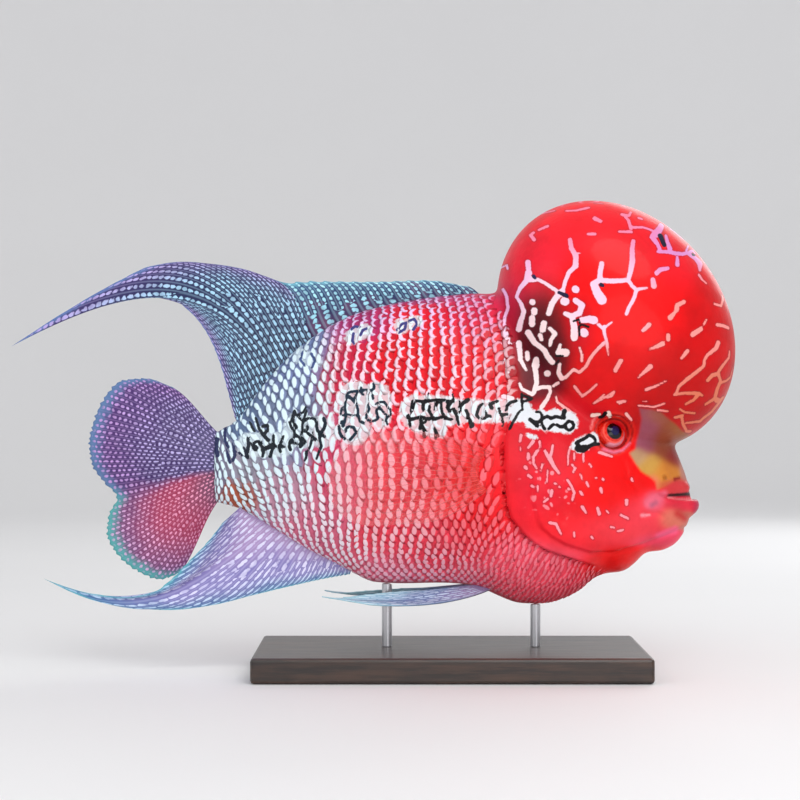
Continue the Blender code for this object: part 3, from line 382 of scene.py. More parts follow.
# Folds of the head: the line, its width and its depth.
FOLDS = ((CHIN_FOLD, 0.0011, 0.0008), (JAW_FOLD, 0.0010, 0.0008), (MOUTH_LINE, 0.0008, 0.0015),
         (CREASE_UNDER_EYE, 0.0016, 0.0005), (CREASE_BEFORE_EYE, 0.0014, 0.0004))
SCALED_BORDER = drawn(((470, 255), (476, 266), (491, 293), (504, 321), (511, 350), (517, 375), (513, 400),
                       (503, 425), (499, 440), (500, 470), (502, 500), (506, 517), (518, 531), (530, 542),
                       (545, 550), (560, 555), (575, 560), (597, 569), (610, 580), (618, 605)))
# Places where the skin under the lower lip is drawn down: the middle, the reach and the drop.
LIP_FILLS = (((688, 511), (0.0042, 0.0030), 0.0020), ((694, 506), (0.0030, 0.0020), 0.0008))


def groove(distance, width, depth):
    return -depth * np.exp(-(distance / width) ** 2)


def flesh_relief(points):
    """How far the folds, plates and pits of the head raise or sink the skin."""
    x, z = points[:, 0], points[:, 2]
    relief = np.zeros(len(points))
    for line, plate, reach, ditch in PLATES:
        away, side, along = line_field(x, z, line)
        ahead = away * side
        ends = smoothstep(0, 0.12, along) * smoothstep(0, 0.10, 1 - along)
        raised = plate * smoothstep(-0.0001, 0.0012, ahead) * (1 - smoothstep(0.3 * reach, reach, ahead))
        relief += ends * (raised + groove(ahead + 0.0006, 0.0011, ditch))
    for line, width, depth in FOLDS:
        away, _, along = line_field(x, z, line)
        relief += groove(away, width, depth) * smoothstep(0, 0.1, along)
    away = np.hypot(x - NOSTRIL_PLACE[0], z - NOSTRIL_PLACE[1])
    relief += groove(away, *NOSTRIL_PIT) - groove(away - NOSTRIL_RIM[0], *NOSTRIL_RIM[1:])
    away = np.hypot(x - EYE_PLACE[0], z - EYE_PLACE[1])
    return relief - EYE_SINK[0] * (1 - smoothstep(*EYE_SINK[1:], away))


def behind_head(x, z):
    """How far a place lies behind the border where the scales begin. Negative is on the head."""
    away, side, _ = line_field(x, z, SCALED_BORDER)
    return np.where(side < 0, away, -away)


def build_skin():
    """The skin: the forms melted together, evened out, thinned under the scales, and given its relief."""
    skin = joined("skin", [trunk_form(), hump_form(), lip_form(*UPPER_LIP), lip_form(*LOWER_LIP),
                           orbit_form(-1), orbit_form(1)])
    remesh = skin.modifiers.new("melt", "REMESH")
    remesh.mode = "VOXEL"
    remesh.voxel_size = VOXEL
    evaluated(skin)
    points = points_of(skin.data)
    x, z = points[:, 0], points[:, 2]
    near_face = smoothstep(0.096, 0.103, x) * smoothstep(0.103, 0.097, z)
    near_eye = 1 - smoothstep(0.010, 0.013, np.hypot(x - EYE_PLACE[0], z - EYE_PLACE[1]))
    fine = np.clip(near_face + near_eye, 0, 1)
    put_points(skin.data, evened(skin.data, points, EVEN_PULL - FINE_PULL * fine, EVEN_ROUNDS))
    under_scales = skin.vertex_groups.new(name="under_scales")
    covered = np.nonzero(behind_head(x, z) > 0.004)[0]
    under_scales.add(covered.tolist(), 1.0, "REPLACE")
    triangles = sum(len(face.vertices) - 2 for face in skin.data.polygons)
    thin = skin.modifiers.new("thin", "DECIMATE")
    thin.ratio = min(1.0, SKIN_TRIANGLES / triangles)
    thin.vertex_group = "under_scales"
    evaluated(skin)
    points, normals = points_of(skin.data), normals_of(skin.data)
    under = smoothstep(-0.001, 0.003, behind_head(points[:, 0], points[:, 2]))
    points += normals * (flesh_relief(points) - SKIN_DROP * under)[:, None]
    for place, (reach_x, reach_z), drop in LIP_FILLS:
        middle = drawn(place)
        off_x, off_z = (points[:, 0] - middle[0]) / reach_x, (points[:, 2] - middle[1]) / reach_z
        points[:, 2] -= drop * np.exp(-off_x ** 2 - off_z ** 2)
    put_points(skin.data, points)
    skin.data.shade_smooth()
    return skin


# Colours of the flesh. Each wash is a soft patch: its middle, its reach right and down, and its colour.
FLESH_WASHES = {
    "crown": (592, 222, 60, 34, 248, 30, 44), "crown_front": (665, 250, 50, 34, 236, 24, 40),
    "hump_side": (612, 300, 52, 46, 254, 4, 10), "hump_nape": (512, 262, 40, 36, 240, 30, 52),
    "hump_front": (712, 330, 36, 60, 214, 6, 12), "hump_low_front": (668, 385, 46, 30, 196, 4, 4),
    "hump_low_side": (606, 372, 32, 30, 226, 6, 10), "nape_low": (492, 352, 9, 52, 232, 10, 34),
    "nape_edge": (508, 320, 7, 40, 190, 14, 48), "maroon": (534, 340, 26, 44, 66, 4, 16),
    "maroon_low": (536, 378, 14, 14, 110, 8, 30), "maroon_edge": (574, 326, 12, 22, 196, 10, 28),
    "nape": (478, 300, 34, 40, 206, 44, 92), "behind_eye": (565, 430, 36, 24, 216, 12, 30),
    "cheek": (605, 478, 36, 30, 252, 6, 10), "cheek_rear": (536, 470, 30, 40, 236, 26, 48),
    "cheek_front": (636, 512, 24, 16, 248, 62, 78), "gill_cover": (566, 522, 38, 20, 250, 24, 38),
    "cheek_low": (600, 525, 40, 12, 246, 60, 72), "upper_lip": (676, 486, 14, 5, 220, 60, 66),
    "lower_lip": (680, 503, 16, 7, 230, 44, 68), "lip_tip": (697, 504, 6, 7, 186, 34, 78),
    "mouth_corner": (648, 501, 9, 8, 236, 112, 140), "under_lip": (668, 516, 12, 8, 222, 116, 96),
    "under_lip_front": (684, 520, 6, 8, 214, 118, 100), "chin": (664, 540, 26, 8, 248, 70, 100),
    "chin_low": (645, 552, 26, 8, 250, 22, 22), "throat": (612, 566, 36, 14, 252, 14, 12),
    "breast_front": (590, 590, 34, 18, 255, 74, 96), "breast": (535, 575, 40, 32, 255, 84, 106),
    "belly": (455, 588, 44, 20, 252, 96, 120), "belly_rear": (378, 575, 36, 24, 238, 112, 140),
    "flank_front": (470, 480, 36, 46, 250, 26, 36), "flank_middle": (402, 462, 36, 40, 236, 38, 64),
    "flank_low": (410, 535, 50, 26, 244, 66, 88), "shoulder": (474, 360, 34, 50, 230, 8, 28),
    "flank_upper": (425, 362, 44, 34, 226, 8, 30), "flank_upper_rear": (350, 372, 22, 30, 206, 20, 62),
    "back": (430, 318, 50, 16, 226, 12, 44), "back_rear": (365, 320, 26, 16, 170, 44, 110),
    "ridge": (420, 296, 60, 8, 150, 66, 130), "flank_rear": (345, 460, 26, 40, 222, 70, 108),
    "rear_upper": (292, 352, 36, 34, 114, 130, 176), "rear_middle": (290, 425, 34, 30, 120, 136, 168),
    "rear_lower": (312, 530, 34, 28, 222, 110, 140), "rear_belly": (285, 495, 26, 26, 190, 146, 168),
    "stem_upper": (246, 418, 26, 22, 94, 118, 156), "stem_middle": (250, 462, 26, 16, 150, 150, 166),
    "stem_lower": (240, 496, 20, 12, 176, 92, 66), "stem_end": (218, 466, 12, 34, 110, 112, 140),
}
# The bare mask between the eye and the hump: violet-tan above, olive-yellow below.
MASK_WASHES = {
    "violet": (641, 430, 11, 20, 164, 84, 104), "tan_top": (650, 416, 12, 8, 164, 92, 70),
    "brown": (662, 436, 14, 18, 152, 72, 44), "olive_corner": (672, 428, 10, 9, 166, 98, 40),
    "maroon": (673, 456, 9, 9, 148, 40, 40), "grey_tan": (634, 456, 8, 7, 190, 152, 112),
    "olive": (645, 464, 10, 9, 206, 158, 74), "amber": (662, 472, 13, 10, 214, 136, 52),
    "edge": (683, 465, 5, 18, 186, 126, 112), "lip_side": (672, 482, 14, 4, 216, 74, 66),
    "lower_border": (648, 480, 6, 6, 232, 126, 92),
}
MASK_OUTLINE = drawn(((631, 408), (643, 409), (652, 411), (659, 417), (668, 423), (676, 430), (690, 436),
                      (705, 455), (705, 480), (686, 481), (672, 480), (662, 485), (652, 488), (650, 480),
                      (644, 475), (636, 470), (630, 462), (624, 452), (630, 448), (633, 432), (634, 418)))
# The colours of the pale marks and of the ink.
PALE_WASHES = {
    "crown": (600, 230, 60, 40, 248, 128, 160), "crown_front": (670, 250, 40, 30, 214, 140, 206),
    "hump_side": (590, 290, 40, 40, 246, 200, 224), "hump_front": (700, 320, 50, 50, 250, 150, 144),
    "net_front": (716, 400, 36, 44, 222, 118, 84), "maroon": (536, 345, 30, 48, 246, 222, 222),
    "hump_low_side": (600, 385, 40, 30, 246, 150, 146), "nape": (480, 300, 40, 50, 240, 186, 232),
    "cheek": (590, 490, 60, 50, 252, 156, 168), "eye_corner": (600, 415, 16, 10, 248, 236, 222),
    "flank_front": (470, 480, 40, 40, 252, 122, 134), "flank_middle": (395, 480, 36, 44, 254, 190, 202),
    "flank_upper": (430, 365, 60, 40, 254, 214, 230), "back": (400, 315, 60, 20, 228, 198, 240),
    "rear": (280, 430, 46, 80, 220, 242, 250), "rear_lower": (320, 530, 36, 36, 248, 236, 246),
    "belly": (440, 585, 60, 22, 252, 186, 204), "breast": (540, 570, 50, 36, 255, 150, 168),
}
INK_WASHES = {
    "black": (500, 420, 120, 40, 8, 6, 14), "teal": (360, 410, 34, 40, 22, 44, 62),
    "rear": (285, 440, 50, 40, 10, 22, 34), "stem": (228, 445, 14, 26, 40, 48, 92),
    "back": (385, 330, 44, 22, 60, 58, 124), "rear_back": (308, 360, 16, 14, 66, 84, 136),
}
EYE_MIDDLE = (608, 433)


def eye_ring(width, radius):
    """A stroke all round the eye."""
    turns = np.linspace(0, 2 * math.pi, 25)
    ring = np.stack([EYE_MIDDLE[0] + radius * np.cos(turns), EYE_MIDDLE[1] + radius * np.sin(turns)], 1)
    return (width, width, *np.diff(ring, axis=0, prepend=0).ravel())


# Strokes painted on the face, each with its colour and how soft its edges are, in mm.
FACE_STROKES = (
    # Painted shade: a near-black line in the gap between the lips, where the mouth is only a shallow groove.
    ((2.4, 5.6, 664, 493.5, 12, 0.3, 24, -0.6), (40, 3, 8), 0.3),
    # Painted highlight: a pale pink line along the lower lip's top edge.
    ((1.6, 1.8, 664, 496.4, 12, 1.6, 16, 0.4), (254, 138, 146), 0.35),
    ((2.6, 2, 699, 498, 2, 6, -5, 7), (198, 108, 140), 0.4),
    # Painted highlight: a pale greyish line down the upper lip's front edge.
    ((3, 2.4, 687, 481, 2, 9), (186, 108, 116), 0.4),
    ((3.4, 2.6, 671, 478, 5, -1), (150, 28, 16), 0.5),
    ((3, 2, 661, 477, 1, 1), (164, 96, 10), 0.6),
    ((9, 5, 644, 501, 8, -4, 8, -5), (244, 106, 132), 1.6),
    ((5, 4, 647, 503, 4, -2), (200, 100, 128), 1.4),
    ((3.6, 2, 637, 513, 8, 0), (254, 146, 160), 0.5),
    ((7, 6, 674, 512, 9, 6), (206, 56, 54), 1.8),
    ((5, 8, 655, 534, 9, -3, 8, -2), (252, 96, 138), 1.4),
    (eye_ring(9, 17), (242, 44, 34), 0.9),
    (eye_ring(1.6, 14.6), (96, 4, 10), 0.5),
    (eye_ring(1.4, 18.6), (132, 8, 20), 0.6),
    ((3, 1.6, 598, 448, 10, 3, 9, -2, 8, -7), (255, 124, 156), 0.6),
    ((1.8, 1.6, 586, 428, 2, -8, 4, -5), (250, 130, 130), 0.5),
)


def washed(x, z, washes):
    """The blend of the soft patches at each place."""
    total = np.zeros((len(x), 3))
    weight = np.full(len(x), NO_GAP)
    for across, down, reach_x, reach_z, *colour in washes.values():
        middle = drawn((across, down))
        far = ((x - middle[0]) / (reach_x * UNIT)) ** 2 + ((z - middle[1]) / (reach_z * UNIT)) ** 2
        share = np.exp(-1.6 * far) + 1e-4 / (1 + far) ** 2
        total += share[:, None] * linear(*colour)
        weight += share
    return total / weight[:, None]


def outline_gap(x, z, outline):
    """The distance to a closed outline, negative inside it."""
    away, _, _ = line_field(x, z, np.vstack([outline, outline[:1]]))
    inside = np.zeros(x.shape, bool)
    for (ax, az), (bx, bz) in zip(outline, np.roll(outline, -1, axis=0)):
        crosses = (az > z) != (bz > z)
        with np.errstate(divide="ignore", invalid="ignore"):
            inside ^= crosses & (x < ax + (z - az) / (bz - az) * (bx - ax))
    return np.where(inside, -away, away)


def strokes_gap(x, z, strokes):
    """The distance in mm to the edge of the nearest stroke, negative inside it and 4 where none is near."""
    gap = np.full(x.shape, 4.0)
    order = np.argsort(x)
    sorted_x = x[order]
    for first, last, *steps in strokes:
        route = drawn(np.cumsum(np.reshape(steps, (-1, 2)), axis=0))
        margin = 0.004 + max(first, last) * UNIT / 2
        low, high = np.searchsorted(sorted_x, (route[:, 0].min() - margin, route[:, 0].max() + margin))
        near = order[low:high]
        near = near[(z[near] > route[:, 1].min() - margin) & (z[near] < route[:, 1].max() + margin)]
        if len(near) == 0:
            continue
        away, _, along = line_field(x[near], z[near], route)
        half = (first + (last - first) * along) * UNIT / 2
        gap[near] = np.minimum(gap[near], (away - half) * 1000)
    return gap


def put_ink(data, x, z, away=0.0):
    """The ink's edges and colour, and the edges of the pale patches that it is drawn on."""
    hump, body = strokes_gap(x, z, HUMP_INK), strokes_gap(x, z, BODY_INK)
    put_values(data, ink_gap=np.minimum(hump + 0.2, body) + away, patch_gap=strokes_gap(x, z, INK_PATCHES),
               ink=washed(x, z, INK_WASHES))


def paint_flesh(data):
    """Writes the flesh's colours and marks to the mesh, as seen from the side."""
    points = points_of(data)
    x, z = points[:, 0], points[:, 2]
    base = washed(x, z, FLESH_WASHES)
    mask = 1 - smoothstep(-0.0010, 0.0008, outline_gap(x, z, MASK_OUTLINE))
    base += mask[:, None] * (washed(x, z, MASK_WASHES) - base)
    for stroke, colour, soft in FACE_STROKES:
        share = smoothstep(soft, -soft, strokes_gap(x, z, (stroke,)))[:, None]
        base += share * (linear(*colour) - base)
    # On the hump's ridge, seen edge on from the side, a net of lines takes the strokes' place.
    edge_on = smoothstep(0.36, 0.16, np.abs(normals_of(data)[:, 1]))
    netted = edge_on * smoothstep(0.045, 0.060, x) * smoothstep(0.122, 0.132, z)
    freckled = np.exp(-((x - 0.0500) / 0.0190) ** 2 - ((z - 0.0960) / 0.0200) ** 2)
    put_values(data, base=base, pale=washed(x, z, PALE_WASHES), netted=netted,
               pale_gap=strokes_gap(x, z, HUMP_LINES + CHEEK_MARKS) + 2.0 * netted,
               freckled=freckled * smoothstep(0.062, 0.040, x + 0.6 * (z - 0.1)))
    put_ink(data, x, z, 2.0 * netted)


# Marks drawn as strokes: the width at the start and at the end, the line's first point, and then its steps.
HUMP_LINES = (
    (2.1, 2.1, 542, 214.5, 5.5, -0.5, 5, -1), (2.1, 2.5, 563, 214.5, 9.5, 0, 6.5, -1.5, 6, -1.5),
    (1.1, 1.3, 591.5, 206, 8.5, 0.5), (4.8, 3.8, 589.5, 223.5, 5.5, 3), (2.9, 3.3, 582, 239.5, 6.5, 0),
    (2.9, 2.5, 544.5, 230, -8.5, 3.5), (2.9, 3.8, 531, 236, -3, 2.5, 3, 5),
    (1.9, 2.1, 499, 268.5, 6.5, -1.5, 0.5, 4), (5.3, 4.8, 524.5, 266, 0.5, 7.5),
    (6.7, 2.9, 525, 276.5, -2, 7.5, -6, 7, -3.5, 8.5),
    (2.9, 5.9, 513.5, 299.5, 4, 6.5, 3, 8, -3, 9.5, -1.5, 7.5), (7.2, 3.8, 524.5, 282.5, 6.5, 1.5),
    (3.4, 3.8, 533, 283, 7.5, 4.5, 9, 6.5, 3.5, 2.5), (4.3, 5.7, 564.5, 245, 1, 8.5, 4, 7.5, -0.5, 10),
    (4.8, 3.6, 569, 271, -6.5, 6.5, -3.5, 8.5, -2, 8), (5.9, 5.4, 556, 295.5, -5, 5, -4.5, 6.5, -3, 9.5),
    (2.4, 1.1, 570.5, 258.5, 3.5, 0), (7.1, 7.1, 568.5, 293.5, 0.5, 0.5), (8, 8, 558, 305, 1, 0.5),
    (5.7, 5.7, 528, 305, 0.5, 0.5), (4.8, 5, 594, 268.5, -1.5, 8, -1, 7.5),
    (5.7, 4.4, 586.5, 288, 5, -3, 11.5, 1, 15, -1), (7.3, 9.6, 586, 289, 3, 7.5, 4.5, 7.5),
    (4.2, 5.7, 625.5, 246.5, -1.5, 7, -0.5, 13.5), (5.7, 4.2, 623.5, 267, -2, 9.5, -2.5, 8.5),
    (3.8, 3.8, 619, 285, 4, 6, 4, 3.5, -3, 9, -5, 8.5, -2, 5.5), (3.3, 2.5, 627, 294, 10, -1.5),
    (2.5, 3.6, 626.5, 216, -3, 4, -6.5, -1), (3.3, 3.6, 619, 220, 3.5, 5, 1.5, 8.5),
    (2.3, 3.3, 612, 237, 12, 0), (5.7, 5.7, 568.5, 304.5, 6.5, 4.5, -2.5, 7),
    (5.7, 4.8, 572.5, 316.5, -8, 3, -5.5, -2.5), (5.7, 7.1, 565.5, 320.5, 2, 10.5, 0, 9),
    (5.7, 8, 574, 323.5, 8, -1, 4, 1), (8, 8, 576, 335, 1, 1), (3.6, 2.1, 590.5, 328, 4.5, 3.5, 8, -6),
    (6.3, 5.7, 530, 313.5, 0, 2), (5.7, 6.1, 528, 320.5, 0, 6), (6.1, 6.1, 539, 326, -1, 6),
    (2.9, 3.4, 501.5, 291, 3, 6.5, 1.5, 12.5, -3.5, 10.5, 0, 8.5), (3.4, 2.3, 639, 328, -6.5, 5.5),
    (2.9, 2.3, 625, 232.5, 11.5, -0.5, 9.5, 3), (5.7, 8, 657.5, 227.5, -4, 6, -4.5, 5),
    (6.7, 3.4, 648, 238.5, -3, 3.5, 4.5, 7, 2.5, 6), (3.3, 4.2, 649.5, 256.5, 10, 0, 7.5, 1),
    (4.2, 3.3, 667, 257.5, 7.5, 0.5, 8, -2, 4.5, -2.5), (3.3, 5.4, 659.5, 240, 0.5, 6, 2, 7.5),
    (1.7, 2.3, 667, 232.5, 9.5, 3, 6.5, 5.5, 1, 7, -4.5, 6.5), (2.3, 2.1, 686, 243, 2, 6.5, 1.5, 6, 13, 0),
    (3.8, 7.3, 682.5, 258, 6.5, 3, 4.5, 5), (6.7, 3.4, 693.5, 267, -1, 6),
    (2.9, 1.7, 691, 278.5, 3, 4.5, 4.5, 3.5), (2.9, 4.8, 669, 261.5, -0.5, 7.5),
    (4.8, 3.8, 647, 278, 3.5, -3.5, 8, -1.5), (4.8, 5.7, 643, 284.5, 1, 6),
    (4.2, 4.8, 673.5, 305.5, -7, 3.5, -0.5, 4.5), (2.9, 5.5, 665, 315, -5.5, 6),
    (4.8, 3.6, 639, 328, -6, 5.5), (2.1, 2.5, 696.5, 322.5, -3, 4.5), (4.8, 5.2, 690.5, 331.5, -8.5, 5.5),
    (3.6, 3.4, 708, 327, 6, 0.5, 7.5, 2), (2.5, 2.3, 714, 279.5, 3.5, -1),
    (3.3, 2.5, 718.5, 293.5, -1, 7, -3.5, 7.5, -8, -1.5), (1.7, 1.5, 719.5, 294, 8.5, 4.5),
    (2.3, 2.7, 633, 222, 3.5, 1), (5, 2.9, 709, 344.5, -2, 5, -9.5, 7, -3, 4.5),
    (3.1, 4.2, 694.5, 361, -0.5, 6, -8, 6.5, -9.5, 7), (3.8, 2.7, 676.5, 380.5, -7.5, 6.5, -2, 6, -2, 2),
    (2.5, 3.8, 665, 395, 9.5, -1.5, 11.5, 0, 4.5, 0.5), (2.9, 2.1, 690.5, 394, 3.5, 2),
    (3.8, 2.5, 690, 394.5, -6, 6, -7, 3.5), (2.1, 3.6, 722.5, 352.5, -0.5, 6, -7, 7.5, -5, 6.5),
    (4.4, 3.8, 710, 374.5, -6.5, 1.5, -5, 5), (3.4, 4.2, 710, 375.5, 3, 6, -3.5, 8.5, -1.5, 8.5),
    (3.8, 2.3, 708, 398.5, -10.5, 6), (2.7, 2.3, 714, 383, 5.5, -1.5, 6, -4),
    (1.9, 1.5, 725.5, 377.5, 2, -6.5, 2.5, -8), (1.7, 1.3, 725.5, 378.5, 2, 5.5),
    (5.7, 3.8, 710, 400, 5, 1, 3.5, -3), (3.3, 2.9, 716.5, 400.5, -4.5, 4.5, -6, 7, -8.5, 6),
    (2.9, 2.3, 697.5, 418, -3, 3, -15, 1.5), (2.5, 2.1, 649.5, 410, 10, 1),
    (2.3, 2.3, 671.5, 409, 5, 3, 10.5, 1), (2.9, 3.3, 667, 417, 7.5, -1.5),
    (3.3, 2.9, 674.5, 418, 1.5, 5.5, 5.5, 7.5, 4.5, 0), (3.8, 4.2, 657.5, 337.5, 0, 4.5),
    (5, 2.1, 652, 346, -5, 2.5, -8, 3), (4.2, 2.9, 676.5, 353, -5.5, 7), (4.2, 3.8, 611.5, 362.5, -5, 9),
    (5.2, 2.1, 640.5, 368, -5, 4.5, -6.5, 6), (1.7, 3.3, 656.5, 381.5, -10.5, 5.5, -9, 3),
    (2.1, 2.5, 606.5, 393, -2.5, 3.5, -4, 1), (1.7, 1.9, 611.5, 403, 5.5, -1),
    (1.3, 1.3, 634.5, 401.5, 4, 0), (1.9, 2.1, 630, 405.5, 8.5, 0.5, 6.5, 1, 10.5, -3.5),
    (3.3, 2.5, 619, 413.5, 5.5, 6), (4.6, 6.1, 503, 332.5, 1, 5), (5.4, 3.1, 504.5, 338.5, 4, 8),
    (6.1, 4.9, 524.5, 334.5, 6, 10, 4, 3), (4.9, 5.4, 534.5, 347.5, 5.5, 4.5, 3, 6, 4.5, 5.5),
    (4.6, 3.8, 535.5, 337.5, 1.5, 4), (3.8, 4.6, 544.5, 331, 5, 5),
    (4.3, 3.5, 549.5, 336.5, -3.5, 5, -1, 5.5), (3.8, 2.6, 595.5, 330, 0.5, 6.5, 2.5, 8),
    (3.8, 1.2, 598.5, 346, 1.5, 11.5), (3.5, 3.1, 595.5, 345.5, -7.5, 7.5, -5.5, 7.5, -3.5, 7.5, -6, 5.5),
    (3.1, 3.1, 573, 373.5, -5.5, -3, -7.5, 8), (2, 3.1, 572.5, 349.5, 2.5, 6.5, 0, 6.5),
    (2.8, 4.6, 554.5, 346.5, -1.5, 6.5), (6.9, 8, 553.5, 354, 6, 0.5),
    (5.7, 4.6, 516, 344.5, 1, 8.5, 0.5, 8), (4.3, 2.8, 518, 362, 5, 9), (4.3, 4.6, 524, 354, 0.5, 6),
    (5.4, 7.7, 532.5, 360.5, -0.5, 6), (5.4, 4.6, 531.5, 368, 1, 8, 0.5, 7.5, -3, 9.5),
    (6, 6, 543, 374, 0.5, 0.5), (3.1, 5.1, 554.5, 365.5, -1, 8, 3, 5.5), (4.6, 2.8, 557, 379, 4, -1),
    (3.4, 2.8, 553.5, 383.5, -4.5, 3), (4.3, 3.4, 533, 389, 5.5, -1.5, 7, 0, 1, 4.5),
    (3.4, 4.6, 546.5, 392, -3.5, 7.5, -5.5, 7.5), (2.8, 4.6, 516, 384, 2.5, 5.5, 10, 5, 3.5, -5.5),
    (1.7, 2.8, 502.5, 358, -1, 7, 5.5, 12), (4.6, 4.3, 500, 396.5, 9, 2),
    (2, 3.8, 551.5, 396, 1.5, 6, 6.5, 5, 5.5, 4), (3.1, 2.3, 569, 387, 3, 4, 4.5, 5.5),
    (2.8, 2.3, 576.5, 396.5, 6, -4.5, 7, -7), (2.3, 2, 606.5, 392, -7, 4.5, -12, 7),
    (2.1, 2.1, 618, 401, -6, 2.5), (3.4, 3.2, 612.5, 362, -5.5, 10.5),
)
HUMP_INK = (
    (3.8, 2.9, 529.5, 280, 1.5, 2), (3.3, 4.2, 553, 296.5, 7.5, 3.5), (4.2, 2.9, 593, 289.5, 2, 1),
    (2.3, 2.3, 566.5, 324.5, 5, -2, 1.5, 4.5, 8, 3), (2.3, 2.3, 572, 330, 0.5, 8),
    (5.7, 4.8, 653.5, 240.5, 3, 9), (3.4, 2.5, 687, 257.5, 1.5, 0.5), (2.3, 2.3, 551, 357.5, 6, 0),
    (2, 2, 550.5, 366, 3, -4.5),
)
CHEEK_MARKS = (
    (3, 4.2, 540, 449, 3, 5, 3, 4), (2.6, 3, 548, 444, -1, 6, -2, 7), (4.6, 2.8, 545, 457, 4, 7, 5, 7),
    (3.2, 2.4, 533, 449, -4, 6, 0, 6, 3, 5), (3.2, 3.4, 524, 452, 0, 5), (2.6, 1.8, 538, 462, -2, 7),
    (2, 1.6, 543, 468, -1, 12), (4, 3.6, 521, 465, 1, 1), (3.2, 2.6, 524, 473, 3, 2),
    (3, 2.6, 527, 483, 2, 1), (2.4, 2.2, 533, 483, 0, 5), (3.6, 3.2, 547, 488, -1, 5),
    (2.8, 2.2, 543, 496, -4, 3), (2.6, 2.2, 550, 481, 1, 0), (2.2, 2, 554, 484, 1, 1),
    (3.6, 2.8, 529, 440, -5, 6), (2.8, 2.4, 535, 440, 1, 6), (3.4, 2.6, 517, 434, -1, 6),
    (2, 1.6, 516, 446, 1, 3), (2.4, 1.8, 565, 446, -2, 8, 0, 9), (2.4, 2, 569, 452, 0, 6),
    (2.6, 2, 578, 452, 0, 8), (2.8, 2.4, 567, 463, 1, 1), (3, 2.2, 570, 466, -2, 4),
    (2.6, 2.2, 584, 462, 2, 3), (2.2, 1.6, 575, 472, 2, 6), (2.8, 2.4, 581, 480, 2, 4),
    (2.4, 2.4, 590, 476, 1, 0), (2.8, 2.6, 597, 477, 1, 1), (3.4, 3, 595, 486, 1, 4),
    (3, 2.8, 575, 489, 2, 3), (2.4, 2.8, 562, 477, 4, 6, 3, 7, -2, 7), (2.6, 2.4, 563, 486, 1, 1),
    (3.8, 2, 577, 504, 4, 6), (3, 3.6, 592, 505, 2, 6), (2.2, 1.8, 601, 508, 2, 2),
    (3.2, 2.4, 545, 519, 6, 1, 3, 6, 2, 4), (2.6, 2.2, 569, 529, 0, 4), (2.6, 2, 586, 533, 2, 2),
    (3.8, 3.2, 621, 498, 0, 4), (2.6, 2.6, 615, 512, 4, 2, 4, 2), (2.4, 2.2, 606, 524, 3, 1),
    (2.8, 2.2, 613, 528, 5, -1), (3, 2.6, 626, 477, 1, 2), (3.4, 2.6, 594, 451, 6, 2, 6, 2),
    (4, 2.6, 587, 415, 7, -1), (5, 4, 602, 413, 2, 3), (2.6, 2.2, 620, 414, 4, 5),
    (2.4, 2.4, 610, 402, 6, -1), (2, 1.8, 597, 395, -9, 8),
)
